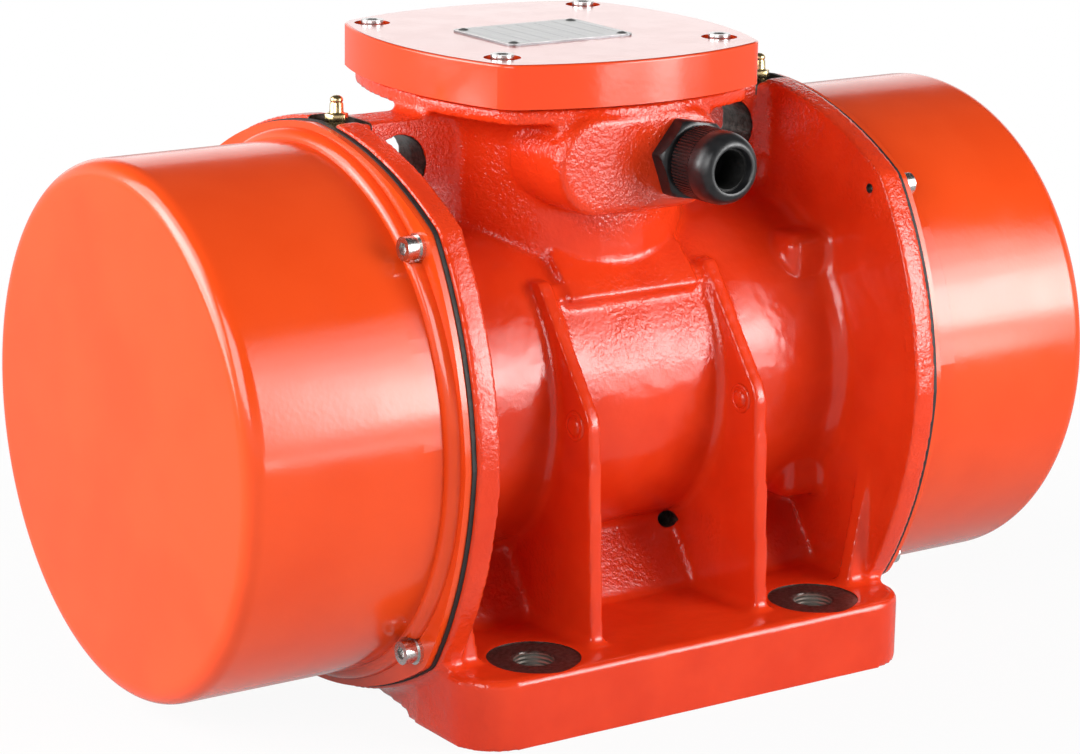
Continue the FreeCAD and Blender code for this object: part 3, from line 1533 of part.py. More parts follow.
def check():
    """Stop on any object that failed and on any node whose shape can't be used."""
    failed = [piece.Name for piece in doc.Objects if {"Invalid", "Error"} & set(piece.State)]
    for piece in NODES:
        shape = piece.Shape
        if shape.isNull() or not shape.isValid() or not shape.Solids:
            failed.append(piece.Label)
    if failed:
        raise RuntimeError("failed: " + ", ".join(failed))


def write():
    os.makedirs("parts", exist_ok=True)
    for piece in NODES:
        piece.Shape.exportStep(f"parts/{piece.Label}.step")
        print(f"{piece.Label}: {len(piece.Shape.Solids)} solid(s), {piece.Shape.Volume:.0f} mm3")


build()
doc.recompute()
check()
write()
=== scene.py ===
# %% [markdown]
# # A vibration motor, dressed in Blender
# The motor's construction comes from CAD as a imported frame: every node already sits at its real
# size and place, in metres. This notebook adds what the eye judges: cast iron under thick paint,
# smooth drawn covers, stainless screws, a nylon cable gland and brass grease nipples.

# %% Load the frame
import json
import math

import bpy
from mathutils import Matrix, Vector


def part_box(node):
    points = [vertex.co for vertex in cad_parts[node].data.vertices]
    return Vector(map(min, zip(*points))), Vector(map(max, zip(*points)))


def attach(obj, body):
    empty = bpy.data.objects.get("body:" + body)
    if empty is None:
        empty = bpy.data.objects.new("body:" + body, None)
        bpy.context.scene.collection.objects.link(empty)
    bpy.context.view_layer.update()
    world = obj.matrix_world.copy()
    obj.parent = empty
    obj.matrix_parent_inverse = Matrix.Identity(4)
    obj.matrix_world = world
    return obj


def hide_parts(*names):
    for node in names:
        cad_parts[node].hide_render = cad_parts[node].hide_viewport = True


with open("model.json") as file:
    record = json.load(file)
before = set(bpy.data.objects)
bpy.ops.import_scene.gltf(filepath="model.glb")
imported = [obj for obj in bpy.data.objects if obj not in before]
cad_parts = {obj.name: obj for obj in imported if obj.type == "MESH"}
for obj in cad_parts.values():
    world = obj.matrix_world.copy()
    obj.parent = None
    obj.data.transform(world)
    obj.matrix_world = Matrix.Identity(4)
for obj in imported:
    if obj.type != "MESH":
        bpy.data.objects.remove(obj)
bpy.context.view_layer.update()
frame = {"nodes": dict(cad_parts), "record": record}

NODES = frame["nodes"]
MM = 0.001

# %% [markdown]
# ## Measures
# Each size is read from the node that has it, so the dressing follows the construction. The shaft
# runs along X, and the covers, flanges and barrel are all round it.

# %% Measures from the frame
COVER_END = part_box("right_cover")[1].x
FLANGE_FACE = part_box("right_cover_gasket")[0].x
LID_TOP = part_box("terminal_lid")[1].z
shaft_low, shaft_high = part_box("rotor_shaft")
AXIS = Vector((0, 0, (shaft_low.z + shaft_high.z) / 2))
print(f"flange face {FLANGE_FACE:.4f}, cover end {COVER_END:.4f}, shaft height {AXIS.z:.4f}")

# %% [markdown]
# ## Small helpers
# An operator acts on everything that is selected, so each step starts from an empty selection. A
# finished piece has its place in its mesh and its object at the origin, like the CAD nodes.

# %% Helpers for objects
def deselect():
    if bpy.context.object and bpy.context.object.mode != "OBJECT":
        bpy.ops.object.mode_set(mode="OBJECT")
    bpy.ops.object.select_all(action="DESELECT")


def activate(*pieces):
    """Select only these pieces, the first one active."""
    deselect()
    for piece in pieces:
        piece.select_set(True)
    bpy.context.view_layer.objects.active = pieces[0]


def named(name):
    """The primitive that was just added, under its own name and with its place in its mesh."""
    piece = bpy.context.object
    piece.name = name
    piece.data.name = name
    activate(piece)
    bpy.ops.object.transform_apply(location=True, rotation=True, scale=True)
    return piece


def copy_of(piece, name):
    """A twin with its own mesh, free of any parent."""
    twin = piece.copy()
    twin.data = piece.data.copy()
    twin.name = twin.data.name = name
    twin.parent = None
    twin.matrix_world = Matrix.Identity(4)
    bpy.context.scene.collection.objects.link(twin)
    return twin


def merged_copy(node, name, cut=None):
    """A copy of a CAD node, its loose triangles merged into one skin and cut off past a place."""
    twin = copy_of(node, name)
    activate(twin)
    bpy.ops.object.mode_set(mode="EDIT")
    bpy.ops.mesh.select_all(action="SELECT")
    bpy.ops.mesh.remove_doubles(threshold=0.00001)
    if cut:
        outwards = (math.copysign(1, cut), 0, 0)
        bpy.ops.mesh.bisect(plane_co=(cut, 0, 0), plane_no=outwards, clear_outer=True)
    bpy.ops.object.mode_set(mode="OBJECT")
    return twin


def join(pieces, name):
    activate(*pieces)
    bpy.ops.object.join()
    pieces[0].name = pieces[0].data.name = name
    return pieces[0]


def modify(piece, kind, **settings):
    """Add one modifier, set it and apply it."""
    activate(piece)
    modifier = piece.modifiers.new(kind.title(), kind)
    for key, value in settings.items():
        setattr(modifier, key, value)
    bpy.ops.object.modifier_apply(modifier=modifier.name)
    return piece


def smooth(piece, degrees):
    """Shade smooth, except where two faces meet at more than this angle."""
    activate(piece)
    bpy.ops.object.shade_smooth_by_angle(angle=math.radians(degrees))
    return piece


def finish(piece, body, slot, material, *replaced):
    """Give a finished piece its material and body, and hide the CAD nodes that it stands for. The slot
    is not used.
    """
    piece.data.materials.clear()
    piece.data.materials.append(material)
    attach(piece, body)
    if replaced:
        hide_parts(*replaced)
    print(f"{piece.name}: {len(piece.data.polygons)} faces")

# %% [markdown]
# ## Shader maths as expressions
# A small class wraps a node's output, so that `mask * 0.5 + noise` adds the Math nodes itself. Any
# other node comes from one method, which sets the node's own settings first and then its inputs.

# %% The shader class
class Socket:
    """One output of a material's nodes, on which Python's operators add Math nodes."""

    def __init__(self, tree, output):
        self.tree = tree
        self.output = output

    def math(self, operation, *values):
        return make(self.tree, "ShaderNodeMath", {"operation": operation}, dict(enumerate(values)))

    def __add__(self, other):
        return self.math("ADD", self, other)

    def __sub__(self, other):
        return self.math("SUBTRACT", self, other)

    def __rsub__(self, other):
        return self.math("SUBTRACT", other, self)

    def __mul__(self, other):
        return self.math("MULTIPLY", self, other)

    def __truediv__(self, other):
        return self.math("DIVIDE", self, other)

    def __pow__(self, other):
        return self.math("POWER", self, other)

    def __gt__(self, other):
        return self.math("GREATER_THAN", self, other)

    def __lt__(self, other):
        return self.math("LESS_THAN", self, other)

    __radd__ = __add__
    __rmul__ = __mul__

    def absolute(self):
        return self.math("ABSOLUTE", self)

    def fraction(self):
        return self.math("FRACT", self)

    def clamp(self):
        return make(self.tree, "ShaderNodeClamp", {}, {"Value": self})

    def span(self, low, high, to_low=0.0, to_high=1.0):
        """Map a range smoothly to another one, held at its ends."""
        easing = {"interpolation_type": "SMOOTHSTEP"}
        values = {"Value": self, "From Min": low, "From Max": high, "To Min": to_low, "To Max": to_high}
        return make(self.tree, "ShaderNodeMapRange", easing, values, "Result")

    def outputs(self, *names):
        """Several outputs of the same node."""
        return [Socket(self.tree, self.output.node.outputs[name]) for name in names]


def feed(tree, socket, value):
    """Link an output to a socket, or set the socket to a value; a colour also gets its alpha."""
    if isinstance(value, Socket):
        tree.links.new(value.output, socket)
    elif socket.type == "RGBA":
        socket.default_value = (*value, 1)
    else:
        socket.default_value = value


def make(tree, kind, settings, values, output=0):
    """Add a node: its settings first, then values or links for its inputs."""
    new = tree.nodes.new(kind)
    for key, value in settings.items():
        setattr(new, key, value)
    for key, value in values.items():
        feed(tree, new.inputs[key], value)
    return Socket(tree, new.outputs[output])


def from_centre(first, second):
    """How far a point is from a centre, from its distances along two directions."""
    return (first ** 2 + second ** 2) ** 0.5

# %% [markdown]
# A Mix node has one set of inputs for each kind of value, all under the same names, so the ones
# for colours are found by their numbers.

# %% The material class
MIX_FACTOR, MIX_FIRST, MIX_SECOND, MIXED = 0, 6, 7, 2
NOISE_LOW, NOISE_HIGH = 0.3, 0.7


class Finish:
    """One material: its shader, its coordinates and its ways to vary over a surface."""

    def __init__(self, name, **sockets):
        self.material = bpy.data.materials.new(name)
        self.material.use_nodes = True
        self.tree = self.material.node_tree
        self.shader = self.tree.nodes["Principled BSDF"]
        self.place = self.make("ShaderNodeTexCoord", {}, {}, "Object")
        parts = self.make("ShaderNodeSeparateXYZ", {}, {"Vector": self.place})
        self.x, self.y, self.z = parts.outputs("X", "Y", "Z")
        for key, value in sockets.items():
            self.set(key.replace("_", " "), value)

    def make(self, kind, settings, values, output=0):
        return make(self.tree, kind, settings, values, output)

    def set(self, name, value):
        feed(self.tree, self.shader.inputs[name], value)

    def noise(self, size, detail=2.0, roughness=0.5):
        """A noise whose lumps are about this size, in metres."""
        values = {"Vector": self.place, "Scale": 1 / size, "Detail": detail, "Roughness": roughness}
        return self.make("ShaderNodeTexNoise", {}, values)

    def drift(self, size, low=0.0, high=1.0, detail=2.0):
        """A value that wanders from one number to another in patches of about this size."""
        return self.noise(size, detail).span(NOISE_LOW, NOISE_HIGH, low, high)

    def mix(self, factor, first, second):
        values = {MIX_FACTOR: factor, MIX_FIRST: first, MIX_SECOND: second}
        return self.make("ShaderNodeMix", {"data_type": "RGBA"}, values, MIXED)

    def mottle(self, size, first, second, detail=2.0):
        """A colour that wanders from one shade to another in patches of about this size."""
        return self.mix(self.drift(size, detail=detail), first, second)

    def bump(self, height, distance):
        """Raise the surface by a height from 0 to 1 times a distance in metres."""
        self.set("Normal", self.make("ShaderNodeBump", {}, {"Height": height, "Distance": distance}))

# %% [markdown]
# ## Where the casting is bare
# Paint stops where a tool has cut: the spot-faces round the foot holes, the lifting eyes, the
# flats under the grease nipples and the threaded holes. The core hole's walls get the same dark
# iron colour as painted shade. Each place is a simple shape in the material's own coordinates,
# so its edge stays sharp at any distance.

# %% Mounts that the masks follow
mounts = {mount["name"]: mount for mount in frame["record"]["mounts"]}
FEET = mounts["feet"]["dims"]
FOOT_X, FOOT_Y = FEET["spacing_x_mm"] * MM / 2, FEET["spacing_y_mm"] * MM / 2
FOOT_HOLE = FEET["hole_r_mm"] * MM
EYE = Vector(mounts["right_lifting_eye"]["pos_m"])
EYE_RADIUS = mounts["right_lifting_eye"]["dims"]["r_mm"] * MM
NIPPLE_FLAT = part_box("right_grease_nipple")[0].z
SCREW_CIRCLE = 122 * MM
SCREW_AT = SCREW_CIRCLE * math.sqrt(0.5)
SCREW_HOLE = 2.0 * MM
FOOT_TOP = 30.7 * MM
SPOTFACE_RADIUS = 20.2 * MM
CORE_X, CORE_Z, CORE_HOLE = 36.5 * MM, 58 * MM, 3.8 * MM
print(f"foot holes at {FOOT_X:.3f}, {FOOT_Y:.3f}; lifting eye at {EYE.x:.3f}, {EYE.z:.3f}")

# %% Distances on the casting
cast_paint = Finish("cast_paint", IOR=1.5)
across = cast_paint.x.absolute()
depth = cast_paint.y.absolute()
level = cast_paint.z
lift = (level - AXIS.z).absolute()
foot_distance = from_centre(across - FOOT_X, depth - FOOT_Y)
eye_distance = from_centre(across - EYE.x, level - EYE.z)
screw_distance = from_centre(depth - SCREW_AT, lift - SCREW_AT)
core_distance = from_centre(cast_paint.x - CORE_X, level - CORE_Z)
axis_distance = from_centre(cast_paint.y, level - AXIS.z)
print(f"cover screws {SCREW_AT:.4f} out and {SCREW_AT:.4f} up or down from the shaft")

# %% Masks of bare iron, and of painted shade in the core hole
CUT_EDGE = 0.3 * MM
FINE_EDGE = 0.2 * MM
CORE_EDGE = 0.15 * MM
EYE_PLATE = 16 * MM
FLAT_START, FLAT_DEPTH = 102 * MM, 12 * MM
FLANGE_START = 100 * MM
SHELL_DEPTH = 60 * MM
FOOT_BOTTOM = 5 * MM
on_foot = (level < FOOT_TOP - CUT_EDGE) * (level > FOOT_BOTTOM)
spotface = (foot_distance < SPOTFACE_RADIUS + FINE_EDGE) * on_foot
eye = (eye_distance < EYE_RADIUS + CUT_EDGE) * (depth < EYE_PLATE)
flat = (level > NIPPLE_FLAT - CUT_EDGE) * (across > FLAT_START) * (depth < FLAT_DEPTH)
thread = (screw_distance < SCREW_HOLE + FINE_EDGE) * (across > FLANGE_START)
# painted shade: the core hole's walls get the dark bare-iron colour, as shade inside the hole
core_hole_shade = (core_distance < CORE_HOLE + CORE_EDGE) * (depth < SHELL_DEPTH)
underside = level < 0.1 * MM
foot_thread = (foot_distance < FOOT_HOLE + CUT_EDGE) * (level < FOOT_TOP)
# bare iron at the cut places, plus painted shade in the core hole
bare_iron_and_hole_shade = (spotface + eye + flat + thread + core_hole_shade + underside + foot_thread).clamp()
print("nodes for the masks:", len(cast_paint.tree.nodes))

# %% [markdown]
# ## Paint
# The casting was shot, primed and sprayed thick: the paint follows the sand texture and rounds it
# into a pebbled gloss, strong in places and nearly gone in others. The covers are smooth drawn
# steel and the lid is machined flat, both under the same red-orange.

# %% Colours of paint and iron
paint = cast_paint.mottle(0.03, (0.68, 0.036, 0.006), (0.75, 0.047, 0.009), 3)
iron = cast_paint.mottle(0.002, (0.045, 0.034, 0.029), (0.120, 0.100, 0.090), 3)
iron = cast_paint.mix(foot_thread, iron, (0.26, 0.23, 0.20))
cast_paint.set("Base Color", cast_paint.mix(bare_iron_and_hole_shade, paint, iron))
cast_paint.set("Metallic", bare_iron_and_hole_shade * 0.7)
print("nodes with the colours:", len(cast_paint.tree.nodes))

# %% [markdown]
# The sand's grain shows most where it was rammed least: on the terminal box and its neck, round
# the flanges' rims, along the top of the barrel and in the pockets between the ribs. Each zone is
# a product of ranges, and the pebbles stand full only inside it.

# %% Gloss and relief of the casting
neck_zone = level.span(0.192, 0.205)
edge_zone = axis_distance.span(0.116, 0.119) * across.span(0.107, 0.110)
barrel_zone = across.span(0.060, 0.036) * axis_distance.span(0.083, 0.077) * level.span(0.130, 0.160)
pocket_zone = level.span(0.033, 0.038) * level.span(0.074, 0.064) * depth.span(0.078, 0.074)
rough_zone = (neck_zone + edge_zone * 0.6 + barrel_zone * 0.8 + pocket_zone * 0.9).clamp()
gloss = cast_paint.drift(0.012, 0.13, 0.23, 3)
cast_paint.set("Roughness", gloss - rough_zone * 0.05 + bare_iron_and_hole_shade * 0.2)

TOOL_PITCH, THREAD_PITCH = 0.9 * MM, 1.8 * MM
RELIEF = 0.8 * MM
pebbles = cast_paint.noise(0.0019, 2.5, 0.55)
patches = cast_paint.noise(0.035, 2).span(0.38, 0.60, 0.35, 1.0)
runs = cast_paint.noise(0.009, 1)
tool_marks = (foot_distance / TOOL_PITCH).fraction() * 0.06
crests = ((level / THREAD_PITCH).fraction() - 0.5).absolute() * foot_thread
painted = pebbles * patches * (rough_zone * 0.85 + 0.10) + runs * 0.4
cast_paint.bump(painted * (1 - bare_iron_and_hole_shade) + tool_marks * bare_iron_and_hole_shade + crests * 1.6, RELIEF)
print("nodes with the relief:", len(cast_paint.tree.nodes))

# %% [markdown]
# The covers and the lid share a smooth paint. The lid's top has painted shade: its colour is darker
# and browner than its side, under a clear coat that still mirrors the light.

# %% Paint on the covers and the lid
def smooth_paint(name, rough, orange_peel):
    """Sprayed gloss paint on a smooth surface, with a fine orange peel, before its colour."""
    made = Finish(name, IOR=1.54)
    made.set("Roughness", made.drift(0.015, rough * 0.85, rough * 1.2, 3))
    made.bump(made.noise(0.0022, 1), orange_peel)
    return made


cover_paint = smooth_paint("cover_paint", 0.15, 0.03 * MM)
cover_paint.set("Base Color", cover_paint.mottle(0.05, (0.77, 0.062, 0.006), (0.81, 0.072, 0.009)))
lid_paint = smooth_paint("lid_paint", 0.17, 0.04 * MM)
on_top = lid_paint.z > LID_TOP - CUT_EDGE
# painted shade: the lid's top gets a darker, browner base colour than its side
lid_top_painted_shade = lid_paint.mottle(0.05, (0.52, 0.045, 0.012), (0.57, 0.055, 0.016))
lid_paint.set("Base Color", lid_paint.mix(on_top, (0.82, 0.060, 0.010), lid_top_painted_shade))
lid_paint.set("Coat Weight", on_top * 0.8)
lid_paint.set("Coat Roughness", 0.16)
print("smooth paints:", cover_paint.material.name, lid_paint.material.name)

# %% [markdown]
# ## Metals, rubber and nylon
# Every metal is one recipe with its own colour and grain: a fine noise changes the colour, the
# roughness and the surface together, as scratches and pores do. Rubber, nylon and the terminal
# block's moulding are dull, with a grain that shows only close by.

# %% Metals
def metal(name, colour, rough, grain, height, tint=0.15):
    """A metal with a fine grain in its colour, roughness and surface."""
    made = Finish(name, Metallic=1.0)
    fine = made.noise(grain, 3, 0.6)
    dark = tuple(c * (1 - tint) for c in colour)
    made.set("Base Color", made.mix(fine.span(0.25, 0.75), dark, colour))
    made.set("Roughness", fine.span(0.2, 0.8, rough * 0.8, rough * 1.25))
    made.bump(fine, height)
    return made


stainless = metal("stainless", (0.70, 0.69, 0.68), 0.24, 0.0012, 0.00003)
ground_steel = metal("ground_steel", (0.46, 0.46, 0.47), 0.3, 0.002, 0.00002)
weight_iron = metal("weight_iron", (0.16, 0.155, 0.15), 0.5, 0.003, 0.0002)
machined_iron = metal("machined_iron", (0.22, 0.21, 0.20), 0.42, 0.0015, 0.00004)
brass = metal("brass", (0.80, 0.60, 0.30), 0.25, 0.001, 0.00003)
plate_metal = metal("plate_metal", (0.78, 0.78, 0.77), 0.33, 0.0008, 0.00001, 0.06)
laminations = metal("laminations", (0.30, 0.30, 0.31), 0.45, 0.0006, 0.00004)
copper = metal("copper", (0.50, 0.20, 0.09), 0.38, 0.0015, 0.0004)
print("materials with the metals:", len(bpy.data.materials))

# %% Nylon, rubber and moulding
nylon = Finish("nylon", IOR=1.5)
nylon.set("Base Color", nylon.mottle(0.004, (0.007, 0.007, 0.008), (0.013, 0.013, 0.014)))
nylon.set("Roughness", nylon.drift(0.003, 0.28, 0.38))
nylon.bump(nylon.noise(0.0006), 0.02 * MM)

rubber = Finish("rubber", IOR=1.5)
rubber.set("Base Color", rubber.mottle(0.002, (0.008, 0.008, 0.008), (0.016, 0.015, 0.014)))
rubber.set("Roughness", rubber.drift(0.002, 0.55, 0.7))
rubber.bump(rubber.noise(0.0008), 0.08 * MM)

moulding = Finish("moulding", IOR=1.5)
grain = moulding.noise(0.003)
moulding.set("Base Color", moulding.mix(grain, (0.035, 0.022, 0.016), (0.05, 0.032, 0.024)))
moulding.set("Roughness", moulding.drift(0.002, 0.35, 0.5))
print("finishes so far:", len(bpy.data.materials))

# %% [markdown]
# ## The nameplate's finish
# The plate is brushed silver with ruled rows and columns, and says nothing. The brushing is a
# noise that a Mapping node stretches along the plate, and the lines come from the remainder of
# the distance to the plate's corner, divided by the height of a row. The edges below the plate's
# face get the lines' dark grey, as painted shade.

# %% The blank nameplate's lines
plate_low, plate_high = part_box("nameplate")
plate_size = plate_high - plate_low
ROW, MARGIN, LINE = 3.2 * MM, 3 * MM, 0.3 * MM
COLUMN = 3 * ROW
PLATE_FACE = plate_high.z - 0.1 * MM
BRUSHING = (60, 3000, 60)
blank_plate = Finish("blank_plate", Metallic=0.4)
from_left = blank_plate.x - plate_low.x
from_front = blank_plate.y - plate_low.y
row_line = ((from_front - MARGIN) / ROW).fraction() < LINE / ROW
column_line = ((from_left - MARGIN) / COLUMN).fraction() < LINE / COLUMN
inner_x = (from_left > MARGIN) * (from_left < plate_size.x - MARGIN)
inner_y = (from_front > MARGIN) * (from_front < plate_size.y - MARGIN)
ruled = (row_line + column_line).clamp() * inner_x * inner_y
# painted shade: the plate's edges below its face get the same dark grey as the ruled lines
dark = (ruled + (blank_plate.z < PLATE_FACE)).clamp()
along = {"Vector": blank_plate.place, "Scale": BRUSHING}
brushed = blank_plate.make("ShaderNodeMapping", {}, along)
strokes = blank_plate.make("ShaderNodeTexNoise", {}, {"Vector": brushed, "Scale": 1.0, "Detail": 2.0})
shade = strokes.span(NOISE_LOW, NOISE_HIGH)
silver = blank_plate.mix(shade, (0.80, 0.80, 0.80), (0.88, 0.88, 0.87))
blank_plate.set("Base Color", blank_plate.mix(dark, silver, (0.22, 0.22, 0.23)))
blank_plate.set("Roughness", strokes.span(NOISE_LOW, NOISE_HIGH, 0.34, 0.46))
blank_plate.bump(strokes * 0.1 - dark, 0.05 * MM)
print(f"rows on the nameplate: {(plate_size.y - 2 * MARGIN) / ROW:.1f}")

# %% [markdown]
# Most nodes keep their construction mesh and only need a finish. Each subpart of the record names
# its slot, so a small table from slots to finishes dresses them all.

# %% Give every carried-over node its finish
SLOT_FINISH = {
    "casting_paint": cast_paint, "cover_paint": cover_paint, "machined_iron": machined_iron,
    "stainless": stainless, "dark_steel": ground_steel, "weight_steel": weight_iron, "brass": brass,
    "black_nylon": nylon, "rubber": rubber, "aluminium": plate_metal, "copper_winding": copper,
    "laminations": laminations, "moulding": moulding,
}
for part in frame["record"]["subparts"]:
    node = NODES[part["node"]]
    node.data.materials.clear()
    node.data.materials.append(SLOT_FINISH[part["material_slot"]].material)
NODES["terminal_lid"].data.materials[0] = lid_paint.material
print("materials:", len(bpy.data.materials))

# %% [markdown]
# ## The casting
# Iron poured in sand has no sharp corner: every inner corner is filleted and every outer edge is
# soft. A voxel remesh makes one even skin of the solids. A copy of it is grown by the fillet's
# radius, smoothed, and shrunk back by that radius and a little more. That fills the inner corners
# as a ball rolled along them would, but also wears the outer edges away, so the two are joined
# again: inner corners from the copy, flat walls and outer edges from the first skin. The bores are
# plugged before, because a tool cuts them after casting.

# %% Rods and blocks
def rod(name, radius, low, high, turn=(0, 0, 0), sides=96):
    """A cylinder from one point to another one along a main axis."""
    low, high = Vector(low), Vector(high)
    deselect()
    bpy.ops.mesh.primitive_cylinder_add(vertices=sides, radius=radius, depth=(high - low).length,
                                        location=(low + high) / 2, rotation=turn)
    return named(name)


def block(name, centre, size, turn=(0, 0, 0)):
    """A box of this size round its centre."""
    deselect()
    bpy.ops.mesh.primitive_cube_add(size=1, location=centre, scale=size, rotation=turn)
    return named(name)


ALONG_X = (0, math.pi / 2, 0)
ALONG_Y = (math.pi / 2, 0, 0)
BORE = 62 * MM
BOX_Y = 6 * MM
BOX_RADIUS, BOX_FLOOR, RIM_TOP = 52 * MM, 204 * MM, 257 * MM
print(f"bore {BORE:.3f}, terminal box {BOX_RADIUS:.3f} from {BOX_FLOOR:.3f} up")

# %% The cast skin
FILLET = 2.7 * MM
SETBACK = 0.35 * MM
VOXEL = 1.15 * MM
PLUG_MARGIN = 1 * MM
casting = merged_copy(NODES["frame_casting"], "cast_frame")
plug_end = FLANGE_FACE - 9 * MM
plug_floor, plug_top = BOX_FLOOR - PLUG_MARGIN, RIM_TOP - 2 * MM
bore_plug = rod("bore_plug", BORE + PLUG_MARGIN, (-plug_end, 0, AXIS.z), (plug_end, 0, AXIS.z), ALONG_X)
box_plug = rod("box_plug", BOX_RADIUS + PLUG_MARGIN, (0, BOX_Y, plug_floor), (0, BOX_Y, plug_top))
casting = join([casting, bore_plug, box_plug], "cast_frame")
modify(casting, "REMESH", mode="VOXEL", voxel_size=VOXEL)
filled = copy_of(casting, "filled_corners")
modify(filled, "DISPLACE", strength=FILLET, mid_level=0.0)
modify(filled, "REMESH", mode="VOXEL", voxel_size=VOXEL)
modify(filled, "SMOOTH", factor=0.5, iterations=6)
modify(filled, "DISPLACE", strength=-FILLET - SETBACK, mid_level=0.0)
casting = join([casting, filled], "cast_frame")
modify(casting, "REMESH", mode="VOXEL", voxel_size=VOXEL)
modify(casting, "SMOOTH", factor=0.5, iterations=3)
print("cast skin:", len(casting.data.polygons), "faces")

# %% [markdown]
# Sand leaves the iron slightly wavy. A cloud texture moves the skin by less than a tenth of a
# millimetre either way, and Decimate then spends the faces where the shape bends.

# %% Waves and fewer faces
FACE_LIMIT = 185000
waves = bpy.data.textures.new("sand_waves", "CLOUDS")
waves.noise_scale = 12 * MM
modify(casting, "DISPLACE", texture=waves, texture_coords="LOCAL", strength=0.15 * MM, mid_level=0.5)
triangles = sum(len(face.vertices) - 2 for face in casting.data.polygons)
modify(casting, "DECIMATE", ratio=min(1, FACE_LIMIT / triangles))
print("decimated:", triangles, "to", len(casting.data.polygons))

# %% [markdown]
# The real casting then goes under drills, a boring bar and a milling cutter, and so does this one:
# each tool is a rod or a block of the size of its cut. The tools are joined into one cutter for
# the seats and one for the holes, which keeps it to two Booleans. The base is milled flat too.

# %% Tools for the bore, the box, the base and single holes
GLAND = Vector((18 * MM, -74 * MM, 232 * MM))
LEAD_TOP = BOX_FLOOR + 5 * MM
core_ends = [(CORE_X, reach, CORE_Z) for reach in (-61 * MM, -32 * MM)]
gland_ends = [(GLAND.x, reach, GLAND.z) for reach in (-80 * MM, -20 * MM)]
seats = [
    rod("stator_bore", BORE, (-200 * MM, 0, AXIS.z), (200 * MM, 0, AXIS.z), ALONG_X, 192),
    rod("box_cavity", BOX_RADIUS, (0, BOX_Y, BOX_FLOOR), (0, BOX_Y, 300 * MM)),
]
holes = [
    rod("lead_hole", 11 * MM, (0, BOX_Y, AXIS.z), (0, BOX_Y, LEAD_TOP)),
    rod("core_hole", CORE_HOLE, *core_ends, ALONG_Y, 32),
    rod("gland_hole", 12.6 * MM, *gland_ends, ALONG_Y),
]
seats.append(block("base_plane", (0, 0, -10 * MM), (400 * MM, 400 * MM, 20 * MM)))
print("tools so far:", len(seats), "for seats,", len(holes), "for holes")

# %% Tools that repeat on each side
EYE_TOOL = 30 * MM
FLAT_CENTRE, FLAT_SIZE = 112.5 * MM, (19 * MM, 23 * MM, 20 * MM)
SPOTFACE_FLOOR, SPOTFACE_TOP = FOOT_TOP - 0.7 * MM, 37 * MM
FOOT_START, FOOT_END = -10 * MM, 36 * MM
SCREW_START, SCREW_END = 100 * MM, 125 * MM
for side in (-1, 1):
    ends = [(side * EYE.x, reach, EYE.z) for reach in (-EYE_TOOL, EYE_TOOL)]
    seats.append(rod("lifting_eye", EYE_RADIUS, *ends, ALONG_Y))
    above_flat = (side * FLAT_CENTRE, 0, NIPPLE_FLAT + FLAT_SIZE[2] / 2)
    seats.append(block("nipple_flat", above_flat, FLAT_SIZE))
    for front in (-1, 1):
        foot = (side * FOOT_X, front * FOOT_Y)
        seats.append(rod("spotface", SPOTFACE_RADIUS, (*foot, SPOTFACE_FLOOR), (*foot, SPOTFACE_TOP)))
        holes.append(rod("foot_hole", FOOT_HOLE, (*foot, FOOT_START), (*foot, FOOT_END), sides=64))
        for up in (-1, 1):
            y, z = front * SCREW_AT, AXIS.z + up * SCREW_AT
            ends = [(side * x, y, z) for x in (SCREW_START, SCREW_END)]
            holes.append(rod("thread_hole", SCREW_HOLE, *ends, ALONG_X, 24))
print("all tools:", len(seats), "for seats,", len(holes), "for holes")

# %% Cut
for tools in (seats, holes):
    cutter = join(tools, "cutter")
    modify(casting, "BOOLEAN", object=cutter, operation="DIFFERENCE", solver="EXACT")
    bpy.data.objects.remove(cutter)
print("machined:", len(casting.data.polygons), "faces")

# %% [markdown]
# Each rib carries a small round boss, where a pin pushed the pattern out of the sand. A squashed
# sphere inside a flat ring is enough, because the paint has run round it.

# %% Pin marks on the ribs
RIB_SIDE, RIB_THICKNESS = 44 * MM, 7 * MM
MARK_REACH, MARK_HEIGHT, MARK_RADIUS = 88 * MM, 2.8 * MM, 4.4 * MM
RING_RADIUS, RING_THICKNESS = 5.6 * MM, 1.1 * MM
marks = []
for rib in (-1, 1):
    for face in (-1, 1):
        for front in (-1, 1):
            spot = (rib * RIB_SIDE + face * RIB_THICKNESS / 2, front * MARK_REACH, AXIS.z)
            deselect()
            bpy.ops.mesh.primitive_uv_sphere_add(segments=32, ring_count=16, radius=1, location=spot,
                                                 scale=(MARK_HEIGHT, MARK_RADIUS, MARK_RADIUS))
            marks.append(named("pin_mark"))
            deselect()
            bpy.ops.mesh.primitive_torus_add(location=spot, rotation=ALONG_X, major_segments=32,
                                             minor_segments=10, major_radius=RING_RADIUS,
                                             minor_radius=RING_THICKNESS)
            marks.append(named("pin_ring"))
casting = join([casting, *marks], "cast_frame")
smooth(casting, 42)
finish(casting, "frame", "casting_paint", cast_paint.material, "frame_casting")

# %% [markdown]
# ## The covers
# A cover is a deep-drawn cup. Its folded foot keeps the shape of the construction, cut off with
# Bisect, and the cup is turned: a ring is extruded and resized step by step, round a corner that
# starts gently, as drawn sheet does.

